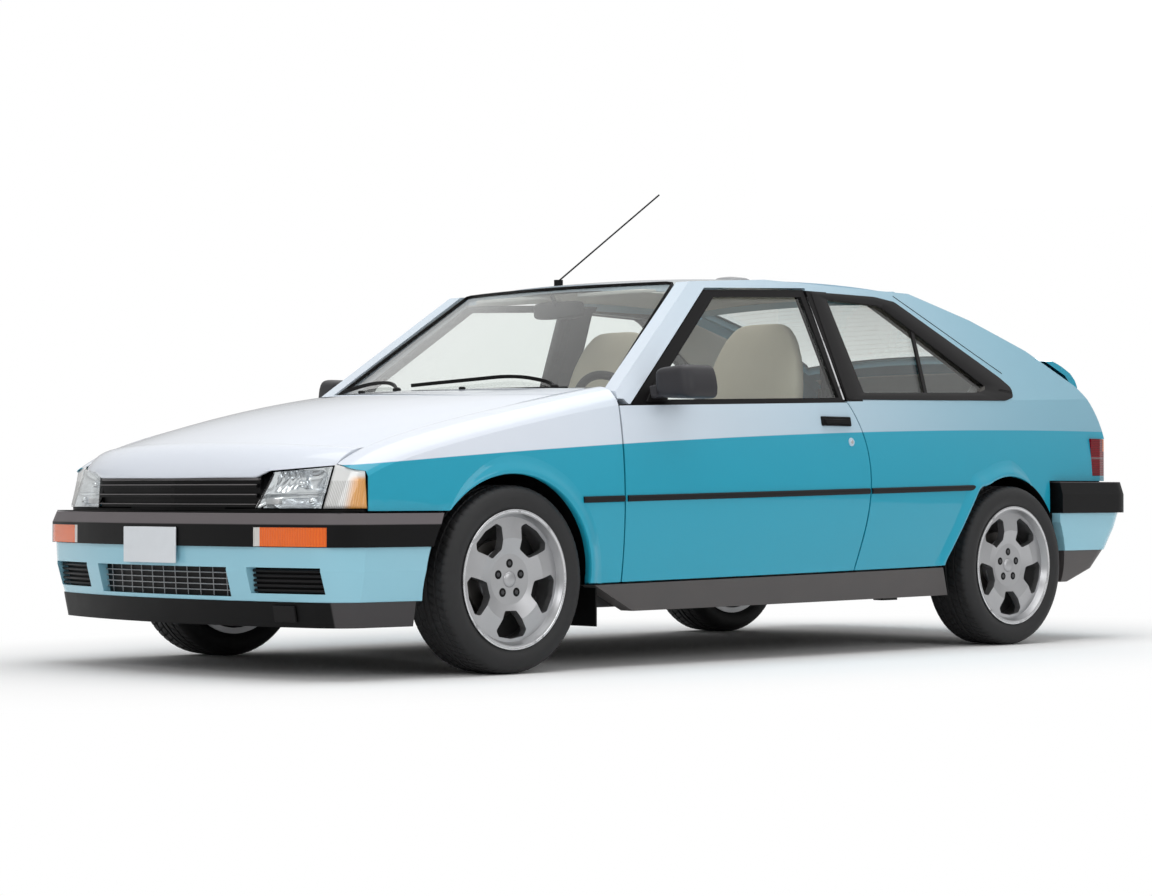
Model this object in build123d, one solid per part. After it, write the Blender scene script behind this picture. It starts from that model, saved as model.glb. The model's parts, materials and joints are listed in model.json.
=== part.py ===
"""Three-door hatchback car, built panel by panel at full size.

Frame: millimetres, +X forward, +Y to the car's left, +Z up. The origin lies on the ground,
midway between the bumper ends, on the car's plane of symmetry.
"""
import os
from math import cos, hypot, radians, sin, sqrt, tan

from build123d import *

# Overall sizes
HALF_WIDTH = 830.0
WAIST_Z = 560.0
PLAN_CENTRE_X = 100.0
PLAN_RADIUS = 22500.0
UPPER_FLANK_RADIUS = 1463.0
LOWER_FLANK_RADIUS = 2074.0
TUMBLEHOME = 0.438
ROOF_Z = 1346.0

# Lines that run along the flank: height at mid-length and slope
SILL_BOTTOM = (187.0, -0.007)
SILL_TOP = (283.0, -0.014)
RUB_LINE = (565.0, -0.020)
BELT = (875.0, -0.030)

# Gaps and walls
SHUT_GAP = 6.5
FIT_GAP = 0.4
SHEET = 3.0
GLASS = 6.0

# Wheels and axles
FRONT_AXLE_X = 1277.0
WHEELBASE = 2536.0
REAR_AXLE_X = FRONT_AXLE_X - WHEELBASE
WHEEL_R = 296.0
WHEEL_Y = HALF_WIDTH - 117.0
TYRE_WIDTH = 205.0
RIM_LIP_R = 218.0
RIM_BEAD_R = 204.0
RIM_WIDTH = 190.0
ARCH_R = 330.0
HOUSING_R = 348.0
STUB_R = 28.0
STUB_CLEARANCE = 0.05
KINGPIN_Y = WHEEL_Y - 33.0


def level_z(level, x):
    """Height of a line along the flank at station x."""
    height, slope = level
    return height + slope * x


def raised(level, rise):
    """The same line, moved up."""
    return (level[0] + rise, level[1])


def half_width(x):
    """Half width of the body at its widest height, a large circle in plan."""
    return HALF_WIDTH - (x - PLAN_CENTRE_X) ** 2 / (2 * PLAN_RADIUS)


def side_y(x, z):
    """Outer skin of the flank below the belt line."""
    radius = UPPER_FLANK_RADIUS if z > WAIST_Z else LOWER_FLANK_RADIUS
    return half_width(x) - (z - WAIST_Z) ** 2 / (2 * radius)


def glass_y(x, z):
    """Outer plane of the side windows, which leans in above the belt line."""
    z_belt = level_z(BELT, x)
    return side_y(x, z_belt) - TUMBLEHOME * (z - z_belt)


def gentle_arc(a, b, c):
    """Arc through three points, or a line where they are straight."""
    a, b, c = Vector(*a), Vector(*b), Vector(*c)
    sag = (b - (a + c) * 0.5).length
    return Line(a, c) if sag < 0.01 else ThreePointArc(a, b, c)


def level_slice(level, x_front, x_rear, depth_out, depth_in, skin, taper=0.0):
    """Slice of a side panel in one level plane, between two depths below its skin."""
    def run(depth, x_end):
        stations = (x_front, (x_front + x_end) / 2, x_end)
        return [(x, skin(x, level_z(level, x)) - depth, level_z(level, x)) for x in stations]

    outer, inner = run(depth_out, x_rear), run(depth_in, x_rear + taper)
    return make_face([
        gentle_arc(*outer),
        Line(outer[2], inner[2]),
        gentle_arc(*inner[::-1]),
        Line(inner[0], outer[0]),
    ])


def side_panel(rows, depth_out, depth_in, skin=side_y, ruled=False, taper=0.0):
    """Left-hand panel from rows of (line, front x, rear x); taper draws its inner rear edge forward."""
    return loft([level_slice(*row, depth_out, depth_in, skin, taper) for row in rows], ruled=ruled)


def side_prism(points, y_low=-1000.0, y_high=1000.0):
    """Prism across the car from an outline in side view."""
    face = make_face(Polyline(*[(x, y_low, z) for x, z in points], close=True))
    return extrude(face, amount=y_high - y_low, dir=(0, 1, 0))


def plan_prism(points, z_low, z_high):
    """Upright prism from an outline in plan."""
    face = make_face(Polyline(*[(x, y, z_low) for x, y in points], close=True))
    return extrude(face, amount=z_high - z_low, dir=(0, 0, 1))


def front_prism(points, x_low, x_high):
    """Lengthwise prism from an outline in front view."""
    face = make_face(Polyline(*[(x_low, y, z) for y, z in points], close=True))
    return extrude(face, amount=x_high - x_low, dir=(1, 0, 0))


def block(x0, x1, y0, y1, z0, z1):
    """Box between two corners."""
    return Pos((x0 + x1) / 2, (y0 + y1) / 2, (z0 + z1) / 2) * Box(abs(x1 - x0), abs(y1 - y0), abs(z1 - z0))


def bar(a, b, radius):
    """Round bar between two points."""
    a, b = Vector(*a), Vector(*b)
    rod = Cylinder(radius, (b - a).length, align=(Align.CENTER, Align.CENTER, Align.MIN))
    return Plane(origin=a, z_dir=b - a) * rod


def across(x, z, radius, y0, y1):
    """Round bar across the car."""
    return bar((x, y0, z), (x, y1, z), radius)


def mirrored(shape):
    """The right-hand copy of a left-hand piece."""
    return mirror(shape, about=Plane.XZ)


def both(shape):
    """Left and right copies as one node of two solids."""
    return Compound(children=[*shape.solids(), *mirrored(shape).solids()])


parts = {}

# Doors: a thick lower panel, a window frame, its glass and a mirror
DOOR_FRONT_X = 800.0
DOOR_THICK = 75.0
DOOR_FRAME_THICK = 36.0
DOOR_FRAME_INSET = 6.0
# width of the window frame along the pillar, the roof, the rear edge and the belt
DOOR_FRAME_BANDS = (42.0, 26.0, 26.0, 16.0)
DOOR_FLANGE = 14.0
DOOR_TAPER = 8.0
DOOR_BOX_FRONT_X = 733.0
DOOR_HINGE = (750.0, HALF_WIDTH - 43.0)
HINGE_BARREL_R = 7.0
HINGE_HEIGHTS = (400.0, 700.0)
HINGE_KNUCKLE = 30.0
# line along the flank, rear edge of the door
DOOR_ROWS = (
    (raised(SILL_TOP, SHUT_GAP), -339.0),
    ((430.0, -0.017), -386.0),
    ((575.0, -0.020), -416.0),
    ((720.0, -0.025), -404.0),
    (BELT, -325.0),
)
# corners of the door's window frame in side view
FRAME_FRONT = (744.0, 853.0)
FRAME_TOP_FRONT = (222.0, 1262.0)
FRAME_TOP_REAR = (-300.0, 1286.0)
FRAME_REAR = (-325.0, 884.0)


def inset_polygon(points, distance):
    """Outline in side view moved inwards on every side."""
    face = make_face(Polyline(*[(x, z, 0) for x, z in points], close=True))
    wire = offset(face, amount=-distance, kind=Kind.INTERSECTION).faces()[0].outer_wire()
    return [(edge.position_at(0).X, edge.position_at(0).Y) for edge in wire.order_edges()]


def banded(points, widths):
    """Outline in side view whose edges are moved inwards, each by its own width."""
    lines = []
    for (x0, z0), (x1, z1), width in zip(points, (*points[1:], points[0]), widths):
        length = hypot(x1 - x0, z1 - z0)
        nx, nz = (z0 - z1) / length, (x1 - x0) / length
        lines.append((nx, nz, nx * x0 + nz * z0 + width))
    corners = []
    for (a, b, p), (c, d, q) in zip((lines[-1], *lines[:-1]), lines):
        corners.append(((p * d - q * b) / (a * d - b * c), (a * q - c * p) / (a * d - b * c)))
    return corners


DOOR_WINDOW = (FRAME_FRONT, FRAME_TOP_FRONT, FRAME_TOP_REAR, FRAME_REAR)
RAIL = (1330.0, 0.0)


def leaning_slab(x_front, x_rear, depth_out, depth_in, low=-60.0):
    """Leaning slab of the cabin side, from below the belt line to above the roof rail."""
    rows = [(raised(BELT, low), x_front, x_rear), (RAIL, x_front, x_rear)]
    return side_panel(rows, depth_out, depth_in, glass_y, ruled=True)


def door():
    rows = [(line, DOOR_FRONT_X, rear) for line, rear in DOOR_ROWS]
    lower = side_panel(rows, 0, DOOR_THICK, taper=DOOR_TAPER)
    pocket_rows = [(line, DOOR_FRONT_X + 20, DOOR_BOX_FRONT_X) for line in (raised(SILL_TOP, -20), BELT)]
    pocket_rows.insert(1, (RUB_LINE, DOOR_FRONT_X + 20, DOOR_BOX_FRONT_X))
    pocket = side_panel(pocket_rows, DOOR_FLANGE, DOOR_THICK + 20)
    lower -= pocket
    frame = leaning_slab(DOOR_FRONT_X, FRAME_REAR[0] - 60, DOOR_FRAME_INSET, DOOR_FRAME_THICK)
    foot = (FRAME_FRONT[0] + 24, FRAME_FRONT[1] - 19)
    outline = [foot, *DOOR_WINDOW[:3], (FRAME_REAR[0], FRAME_REAR[1] - 20)]
    outline[1] = FRAME_FRONT
    frame &= side_prism(outline)
    frame -= side_prism(banded(DOOR_WINDOW, DOOR_FRAME_BANDS))
    shape = lower + frame
    x, y = DOOR_HINGE
    for z in HINGE_HEIGHTS:
        shape += Pos(x, y, z) * Cylinder(HINGE_BARREL_R, HINGE_KNUCKLE)
        shape += block(DOOR_BOX_FRONT_X - 2, x, y - 4, y + 4, z - HINGE_KNUCKLE / 2, z + HINGE_KNUCKLE / 2)
    return shape


def door_glass():
    pane = leaning_slab(DOOR_FRONT_X, FRAME_REAR[0] - 60, 14, 14 + GLASS)
    return pane & side_prism(banded(DOOR_WINDOW, [band + FIT_GAP for band in DOOR_FRAME_BANDS]))


# Door mirror: housing on a short foot at the front corner of the window
MIRROR_FRONT_X = 655.0
MIRROR_REAR_X = 515.0
MIRROR_Y = (HALF_WIDTH - 18.0, HALF_WIDTH + 125.0)
MIRROR_Z = (868.0, 982.0)


def door_mirror():
    rows = ((MIRROR_Y[0], 0.72), (MIRROR_Y[0] + 60, 1.0), (MIRROR_Y[1], 0.86))
    middle = sum(MIRROR_Z) / 2
    faces = []
    for y, share in rows:
        half = (MIRROR_Z[1] - MIRROR_Z[0]) / 2 * share
        front = MIRROR_REAR_X + (MIRROR_FRONT_X - MIRROR_REAR_X) * share
        faces.append(make_face([
            Line((MIRROR_REAR_X, y, middle - half), (MIRROR_REAR_X, y, middle + half)),
            ThreePointArc(
                (MIRROR_REAR_X, y, middle + half), (front, y, middle + half * 0.2),
                (MIRROR_REAR_X, y, middle - half),
            ),
        ]))
    housing = loft(faces)
    foot_x = (560.0, 660.0)
    seat = glass_y(foot_x[0], 920.0)
    foot = leaning_slab(foot_x[1], foot_x[0], -40, -FIT_GAP) & side_prism(
        [(foot_x[0], 885), (foot_x[1] - 15, 885), (foot_x[1] - 50, 925), (foot_x[0], 925)])
    return housing + foot


# Body side: pillars, roof rail and rear quarter in one pressing
RING_THICK = 60.0
BODYSIDE_REAR_X = -1990.0
TAIL_BOTTOM_Z = 612.0
# side view of the roof rail and tail, front to back
TAIL_CORNERS = ((-905.0, 1302.0), (-1240.0, 1216.0), (-1550.0, 1110.0), (-1815.0, 981.0))
TAIL_ARC = ((-1815.0, 981.0), (-1914.0, 876.0), (-1960.0, 740.0))
TAIL_END = (-1976.0, 608.0)
# room for the door: its panel with the gap, and the corner ahead of its window
APERTURE_ROWS = ((raised(SILL_TOP, -200.0), -319.0), *DOOR_ROWS[1:-1], (raised(BELT, 3.0), -322.0))
DOOR_APERTURE = (
    (900.0, 700.0), (FRAME_FRONT[0], 700.0), (FRAME_FRONT[0] + 8, 848.0),
    (FRAME_FRONT[0] + 30, 872.0), (900.0, 872.0),
)
REAR_ARCH_RUN = ((-1063.0, 590.0), (-848.0, 297.0), (-848.0, 150.0), (-1259.0, 150.0), (-1259.0, 590.0))
QUARTER_WINDOW = ((-436.0, 917.0), (-405.0, 1260.0), (-705.0, 1250.0), (-1192.0, 968.0), (-1130.0, 936.0))


def tail_outline(low_z):
    """Side outline of the roof rail and tail as edges at y = -1000, closed below."""
    y = -1000.0
    def at(p):
        return (p[0], y, p[1])
    top = [(838.0, 868.0), (290.0, 1287.0), (-100.0, 1313.0), *TAIL_CORNERS]
    edges = [Line(at(a), at(b)) for a, b in zip(top, top[1:])]
    edges.append(ThreePointArc(*[at(p) for p in TAIL_ARC]))
    edges.append(Line(at(TAIL_ARC[2]), at(TAIL_END)))
    floor = [TAIL_END, (TAIL_END[0], low_z), (838.0, low_z), (838.0, 868.0)]
    edges += [Line(at(a), at(b)) for a, b in zip(floor, floor[1:])]
    return extrude(make_face(edges), amount=2000, dir=(0, 1, 0))


def flank(depth):
    """Everything inside the left flank and the leaning side window plane, by depth below the skin."""
    rows = (raised(SILL_TOP, SHUT_GAP), RUB_LINE, BELT, RAIL)
    below = side_panel([(line, 860.0, BODYSIDE_REAR_X) for line in rows], depth, 500 + depth)
    return below & leaning_slab(860.0, BODYSIDE_REAR_X, depth, 700 + depth, low=-800.0)


def bodyside():
    shape = flank(0.0) - flank(RING_THICK)
    shape -= side_prism(inset_polygon(DOOR_WINDOW, -SHUT_GAP))
    shape -= side_prism(DOOR_APERTURE)
    shape -= side_panel([(line, 1000.0, rear - SHUT_GAP) for line, rear in APERTURE_ROWS], -100, 300)
    shape -= side_prism(QUARTER_WINDOW)
    shape &= tail_outline(200.0)
    shape -= across(REAR_AXLE_X, WHEEL_R, ARCH_R, 500, 1000)
    shape -= block(-2100, -1530, 500, 1000, 100, TAIL_BOTTOM_Z)
    shape -= block(-1560, REAR_AXLE_X, 500, 1000, 100, WHEEL_R)
    shape -= side_prism(REAR_ARCH_RUN)
    shape -= lamp_room(FIT_GAP)
    shape -= tail_corner()
    shape -= screen_room()
    shape -= block(DOOR_FRONT_X, 900, 500, 1000, 800, 1000)
    shape -= block(400, -1000, 400, ROOF_EDGE_Y, 1230, 1400)
    shape += block(-440, -345, 640, 700, 225, 935) + block(-440, -345, 640, 745, 895, 935)
    shape += hinge_pillar()
    return shape


def hinge_pillar():
    """Post ahead of the door with the fixed halves of the two hinges."""
    x, y = DOOR_HINGE
    post = block(715, 812, 640, 700, 225, 888) + block(745, 800, 640, 758, 866, 888)
    for z in HINGE_HEIGHTS:
        low, high = HINGE_KNUCKLE / 2 + FIT_GAP, HINGE_KNUCKLE / 2 + FIT_GAP + 14
        for side in (-1, 1):
            mid = z + side * (low + high) / 2
            post += Pos(x, y, mid) * Cylinder(HINGE_BARREL_R, high - low)
            post += block(x - 4, x + 4, 690, y, mid - (high - low) / 2, mid + (high - low) / 2)
    return post


# Front wings: thin pressings through evenly spaced stations of (shoulder height, seam height)
WING_REAR_X = DOOR_FRONT_X + SHUT_GAP
WING_NOSE_X = 1871.0
WING_HEIGHTS = (
    (851.0, 913.0), (827.0, 887.5), (800.0, 859.5), (771.0, 831.0),
    (739.0, 800.0), (704.0, 765.0), (663.0, 722.5), (597.0, 653.0),
)
WING_ROWS = [
    (WING_REAR_X + (WING_NOSE_X - WING_REAR_X) * i / (len(WING_HEIGHTS) - 1), *heights)
    for i, heights in enumerate(WING_HEIGHTS)
]
SEAM_Y = (HALF_WIDTH - 130.0, -0.043, 850.0)
# corner lamp: rear face and its top edge as (y, z) from the flank inwards
CORNER_LAMP_X = 1836.5
CORNER_LAMP_TOP = (
    (HALF_WIDTH, 613.0), (HALF_WIDTH - 73.0, 630.0),
    (HALF_WIDTH - 174.0, 654.0), (HALF_WIDTH - 230.0, 667.0),
)
BUMPER_SIDE_TOP = 512.0


def seam_y(x):
    """Half width of the bonnet seam."""
    width, slope, start = SEAM_Y
    return width + slope * (x - start)


def wing_slice(x, z_shoulder, z_seam):
    z_low = level_z(SILL_TOP, x) + SHUT_GAP
    z_mid = (z_low + z_shoulder) / 2
    side = [(x, side_y(x, z), z) for z in (z_low, z_mid, z_shoulder)]
    seam = (x, seam_y(x), z_seam)
    corner = (x, (side[2][1] + seam[1]) / 2 + 9, (z_shoulder + z_seam) / 2 + 13)

    def moved(p, dy, dz):
        return (p[0], p[1] + dy, p[2] + dz)

    inner = [moved(p, -SHEET, 0) for p in side]
    inner_corner, inner_seam = moved(corner, -0.6 * SHEET, -0.8 * SHEET), moved(seam, 0, -SHEET)
    return make_face([
        ThreePointArc(*side),
        ThreePointArc(side[2], corner, seam),
        Line(seam, inner_seam),
        ThreePointArc(inner_seam, inner_corner, inner[2]),
        ThreePointArc(*inner[::-1]),
        Line(inner[0], side[0]),
    ])


def wing():
    shape = loft([wing_slice(*row) for row in WING_ROWS])
    shape -= across(FRONT_AXLE_X, WHEEL_R, ARCH_R, 500, 1000)
    shape -= block(FRONT_AXLE_X, 2000, 500, 1000, 100, BUMPER_SIDE_TOP)
    return shape - front_prism(lamp_top_room(FIT_GAP), CORNER_LAMP_X - FIT_GAP, 2000)


def lamp_top_room(gap):
    """Front outline of everything below the top edge of the corner lamp."""
    top = [(y, z + gap) for y, z in CORNER_LAMP_TOP]
    return [*top, (top[-1][0], 480.0), (top[0][0], 480.0)]


# Bonnet: slices at constant y; each is a long arc and a nose arc
BONNET_THICK = 20.0
BONNET_HALF = HALF_WIDTH - 140.0
BONNET_HINGE = (842.0, 893.0)
BONNET_REAR_X = (1000.0, 862.0)
BONNET_BARREL_R = 6.0
BONNET_ARM_Y = HALF_WIDTH - 220.0
BONNET_ARM_WIDE = 14.0
# nose x on the centreline and how far it falls back with the square and fourth power of y
BONNET_NOSE_X = (2015.0, 22.7, 160.8)
# share of the length, height at the seam, crown on the centreline
BONNET_ROWS = (
    (0.0, 906.0, 8.0), (0.46, 815.0, 32.0), (0.90, 702.0, 24.0), (0.965, 682.0, 6.0), (1.0, 654.0, -36.0),
)


def bonnet_slice(y):
    k = (y / BONNET_HALF) ** 2
    rear = BONNET_REAR_X[0] + (BONNET_REAR_X[1] - BONNET_REAR_X[0]) * k
    nose = BONNET_NOSE_X[0] - BONNET_NOSE_X[1] * k - BONNET_NOSE_X[2] * k * k
    top = [(rear + t * (nose - rear), y, z + crown * (1 - k)) for t, z, crown in BONNET_ROWS]
    shifts = ((0, -1), (-0.1, -1), (-0.4, -0.95), (-0.75, -0.7), (-1, 0))
    low = [(p[0] + sx * BONNET_THICK, y, p[2] + sz * BONNET_THICK) for p, (sx, sz) in zip(top, shifts)]
    return make_face([
        ThreePointArc(*top[:3]),
        ThreePointArc(*top[2:]),
        Line(top[4], low[4]),
        ThreePointArc(low[4], low[3], low[2]),
        ThreePointArc(low[2], low[1], low[0]),
        Line(low[0], top[0]),
    ])


def symmetric(values):
    return [-v for v in values[::-1]] + [0.0] + list(values)


def bonnet():
    shape = loft([bonnet_slice(y) for y in symmetric((350.0, 560.0, BONNET_HALF + 15))])
    edges = [(x, seam_y(x) - SHUT_GAP) for x in (700.0, 2100.0)]
    shape &= plan_prism([*edges, *[(x, -y) for x, y in edges[::-1]]], 400, 1200)
    x, z = BONNET_HINGE
    arm = across(x, z, BONNET_BARREL_R, BONNET_ARM_Y, BONNET_ARM_Y + BONNET_ARM_WIDE)
    arm += block(x, x + 60, BONNET_ARM_Y, BONNET_ARM_Y + BONNET_ARM_WIDE, z - 4, z + 3)
    return shape + arm + mirrored(arm)


# Windscreen, roof and scuttle
SCREEN_RADIUS = 1750.0
SCREEN_BASE = (920.0, 895.0)
SCREEN_TOP = (345.0, 1293.0)
SCREEN_EDGE = ((HALF_WIDTH - 114.0, 880.0), (HALF_WIDTH - 298.0, 1300.0))


def screen_shift(y):
    return y * y / (2 * SCREEN_RADIUS)


def screen_slice(y, lift=0.0, thick=GLASS):
    run = (SCREEN_TOP[0] - SCREEN_BASE[0], SCREEN_TOP[1] - SCREEN_BASE[1])
    size = hypot(*run)
    nx, nz = run[1] / size, -run[0] / size
    base, top = ((p[0] - screen_shift(y), p[1]) for p in (SCREEN_BASE, SCREEN_TOP))
    corners = []
    for (x, z), d in ((base, lift), (top, lift), (top, lift - thick), (base, lift - thick)):
        corners.append((x + nx * d, y, z + nz * d))
    return make_face(Polyline(*corners, close=True))


def mirrored_outline(points):
    return [*points, *[(-y, z) for y, z in points[::-1]]]


def windscreen():
    shape = loft([screen_slice(y) for y in symmetric((380.0, 740.0))])
    return shape & front_prism(mirrored_outline(SCREEN_EDGE), 0, 1200)


ROOF_THICK = 24.0
ROOF_REAR_X = -900.0
ROOF_EDGE_Y = HALF_WIDTH - 282.0


def roof_slice(y):
    k = (y / ROOF_EDGE_Y) ** 2
    front = SCREEN_TOP[0] - screen_shift(y) - 5.0
    top = [(front, y, 1299.0 - 20 * k), (-300.0, y, ROOF_Z - 28 * k), (ROOF_REAR_X, y, 1328.0 - 26 * k)]
    low = [(p[0], y, p[2] - ROOF_THICK) for p in top]
    edges = [ThreePointArc(*top), Line(top[2], low[2]), ThreePointArc(*low[::-1]), Line(low[0], top[0])]
    return make_face(edges)


def roof():
    shape = loft([roof_slice(y) for y in symmetric((275.0, ROOF_EDGE_Y - FIT_GAP))])
    step = HATCH_LEAF + FIT_GAP
    for y in (HATCH_HINGE_Y - step, HATCH_HINGE_Y + step):
        shape += hatch_hinge(y, HATCH_HINGE[0] + 40) + hatch_hinge(-y, HATCH_HINGE[0] + 40)
    return shape


def screen_room():
    """Room taken by the windscreen, with its fit gap."""
    shape = loft([screen_slice(y, FIT_GAP, GLASS + 2 * FIT_GAP) for y in symmetric((380.0, 740.0))])
    edge = [(y + FIT_GAP, z) for y, z in SCREEN_EDGE]
    return shape & front_prism(mirrored_outline(edge), 0, 1200)


def scuttle():
    plan = [(817.6, -639), (850, -639), (965, -300), (985, 0), (965, 300), (850, 639), (817.6, 639)]
    shelf = plan_prism(plan, 848, 872)
    wall = block(818, 838, -630, 630, 225.4, 848)
    x, z = BONNET_HINGE
    inner = BONNET_ARM_Y - FIT_GAP
    ear = across(x, z, BONNET_BARREL_R, inner - BONNET_ARM_WIDE, inner)
    ear += block(x - 5, x + 5, inner - BONNET_ARM_WIDE, inner, 871, z)
    return shelf + wall + ear + mirrored(ear) - screen_room()


# Tailgate: slices at constant y over the tail profile
HATCH_THICK = 28.0
HATCH_HALF = HALF_WIDTH - 130.0
HATCH_BOTTOM_Z = 640.0
HATCH_BULGE_X = 70.0
HATCH_HINGE = (-902.0, 1330.0)
HATCH_HINGE_Y = 240.0
HATCH_LEAF = 22.0
HATCH_BARREL_R = 6.0
HATCH_WINDOW = ((-985.0, HALF_WIDTH - 310.0), (-1650.0, HALF_WIDTH - 280.0))
# x, z, share of the bulge, crown on the centreline, inward normal of the tail profile
HATCH_ROWS = (
    (-906.5, 1302.0, 0.0, 26.0, 0.0, -1.0),
    (-1240.0, 1216.0, 0.35, 24.0, 0.29, -0.96),
    (-1550.0, 1110.0, 0.7, 22.0, 0.36, -0.93),
    (-1690.0, 1049.0, 0.85, 18.0, 0.42, -0.91),
    (-1815.0, 981.0, 1.0, 14.0, 0.55, -0.83),
    (-1914.0, 876.0, 1.0, 6.0, 0.85, -0.5),
    (-1960.0, 740.0, 1.0, 0.0, 0.97, -0.2),
    (-1973.0, 640.0, 1.0, 0.0, 1.0, 0.0),
)


def hatch_slice(y, depth_out, depth_in):
    k = 1 - (y / HATCH_HALF) ** 2

    def run(depth):
        return [(x - HATCH_BULGE_X * share * k + nx * depth, y, z + crown * k + nz * depth)
                for x, z, share, crown, nx, nz in HATCH_ROWS]

    out, low = run(depth_out), run(depth_in)
    return make_face([
        ThreePointArc(out[0], out[1], out[2]),
        ThreePointArc(out[2], out[3], out[4]),
        ThreePointArc(out[4], out[5], out[6]),
        Line(out[6], out[7]),
        Line(out[7], low[7]),
        Line(low[7], low[6]),
        ThreePointArc(low[6], low[5], low[4]),
        ThreePointArc(low[4], low[3], low[2]),
        ThreePointArc(low[2], low[1], low[0]),
        Line(low[0], out[0]),
    ])


def hatch_shell(depth_out, depth_in):
    return loft([hatch_slice(y, depth_out, depth_in) for y in symmetric((HATCH_HALF / 2, HATCH_HALF))])


def hatch_window(inset):
    (x0, y0), (x1, y1) = HATCH_WINDOW
    left = [(x0 - inset, y0 - inset), (x1 + inset, y1 - inset)]
    return plan_prism([*left, *[(x, -y) for x, y in left[::-1]]], 900, 1400)


TAIL_LAMP_Z = (632.0, 776.0)
TAIL_LAMP_Y = 480.0


def lamp_room(gap):
    return block(-2100, -1840, TAIL_LAMP_Y - gap, 900, TAIL_LAMP_Z[0] - gap, TAIL_LAMP_Z[1] + gap)


def hatch():
    shape = hatch_shell(0, HATCH_THICK)
    shape -= hatch_window(0)
    room = leaning_slab(860.0, -2050.0, -300, RING_THICK + SHUT_GAP)
    rows = [(line, -1500.0, -2050.0) for line in (raised(SILL_TOP, 100), RUB_LINE, BELT)]
    lower_room = side_panel(rows, -200, RING_THICK + SHUT_GAP)
    for cut in (room, lower_room, lamp_room(SHUT_GAP)):
        shape -= cut
        shape -= mirrored(cut)
    shape = shape.solids().sort_by(SortBy.VOLUME)[-1]
    for side in (1, -1):
        shape += hatch_hinge(side * HATCH_HINGE_Y, HATCH_HINGE[0] - 40)
    return shape


def hatch_hinge(y, x_foot):
    """One leaf of a tailgate hinge: a barrel on the axis and a foot down to the panel at x_foot."""
    x, z = HATCH_HINGE
    foot = block(min(x, x_foot), max(x, x_foot), y - HATCH_LEAF / 2, y + HATCH_LEAF / 2, z - 18, z + 1)
    foot &= side_prism(((x - 45, z - 18), (x - 45, z - 10), (x, z + 1), (x + 45, z - 1), (x + 45, z - 18)))
    return across(x, z, HATCH_BARREL_R, y - HATCH_LEAF / 2, y + HATCH_LEAF / 2) + foot


def hatch_glass():
    return hatch_shell(4.0, 4.0 + GLASS) & hatch_window(FIT_GAP)


# rounded tail corner in plan, from the flank to the back
TAIL_CORNER_PLAN = ((-1840, 738), (-1905, 733), (-1960, 712), (-2026, 560))


def tail_corner():
    """What the rounded corner takes off the body side below the tail lamp."""
    outside = [(-2200, 560), (-2200, 900), (-1840, 900)]
    return plan_prism([*TAIL_CORNER_PLAN, *outside], TAIL_BOTTOM_Z - 60, TAIL_LAMP_Z[0])


def tail_lamp():
    inner = ((-2038, TAIL_LAMP_Y), (-1940, TAIL_LAMP_Y), (-1840, 600))
    return plan_prism([*TAIL_CORNER_PLAN, *inner], *TAIL_LAMP_Z)


# Bumpers: bands that wrap round each end. Plan points of the left half for zero inset
# centre x, arc end, corner middle, corner end, side end
FRONT_PLAN = (2085.0, (1993.0, HALF_WIDTH - 170), (1950.0, HALF_WIDTH - 95), (1860.0, HALF_WIDTH - 42),
              (1500.0, HALF_WIDTH - 15))
REAR_PLAN = (-2085.0, (-2050.0, HALF_WIDTH - 140), (-2020.0, HALF_WIDTH - 70), (-1940.0, HALF_WIDTH - 34),
             (-1500.0, HALF_WIDTH - 18))


def bumper_path(plan, d, z, shift):
    """Points of a bumper outline moved inwards by d, its end also shifted along the car."""
    sign = 1 if plan[0] > 0 else -1
    moves = ((1, 0.25, 1), (0.72, 0.7, 1), (0.15, 1, 1), (0, 1, 0))
    pairs = zip(plan[1:], moves)
    left = [(x - sign * (d * mx + shift * ms), y - d * my, z) for (x, y), (mx, my, ms) in pairs]
    right = [(x, -y, z) for x, y, z in left]
    return left, (plan[0] - sign * (d + shift), 0.0, z), right


def bumper_slice(plan, z, d_out, d_in, shift=0.0):
    left, nose, right = bumper_path(plan, d_out, z, shift)
    left_in, nose_in, right_in = bumper_path(plan, d_in, z, shift)
    return make_face([
        Line(left[3], left[2]),
        ThreePointArc(left[2], left[1], left[0]),
        ThreePointArc(left[0], nose, right[0]),
        ThreePointArc(right[0], right[1], right[2]),
        Line(right[2], right[3]),
        Line(right[3], right_in[3]),
        Line(right_in[3], right_in[2]),
        ThreePointArc(right_in[2], right_in[1], right_in[0]),
        ThreePointArc(right_in[0], nose_in, left_in[0]),
        ThreePointArc(left_in[0], left_in[1], left_in[2]),
        Line(left_in[2], left_in[3]),
        Line(left_in[3], left[3]),
    ])


def bumper_band(plan, rows):
    """Bumper band from rows of (height, outer inset, inner inset, shift along the car)."""
    return loft([bumper_slice(plan, *row) for row in rows], ruled=True)


FRONT_ARCH_CLEAR = HOUSING_R + 6.0
LOWER_GRILLE = (337.0, 250.0, 340.0)
SIDE_VENT = (420.0, 690.0, 262.0, 341.0)
BUMPER_LAMP = (462.0, 720.0, 402.5, 463.0)


def front_cut(shape):
    for y0, y1 in ((400, 1000), (-1000, -400)):
        shape -= across(FRONT_AXLE_X, WHEEL_R, FRONT_ARCH_CLEAR, y0, y1)
    return shape - block(1000, 1560, -1000, 1000, 100, 600)


def front_band():
    shape = bumper_band(FRONT_PLAN, [(403.0, 0, 50), (470.0, 0, 50), (505.0, 14, 50)])
    shape = front_cut(shape)
    y0, y1, z0, z1 = BUMPER_LAMP
    for side in (1, -1):
        shape -= block(1880, 2100, side * y0, side * y1, 300, z1)
    ledge = bumper_band(FRONT_PLAN, [(497.0, 40, 96), (505.0, 40, 96)])
    return shape + (ledge & block(1860, 2200, -640, 640, 0, 600))


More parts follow.
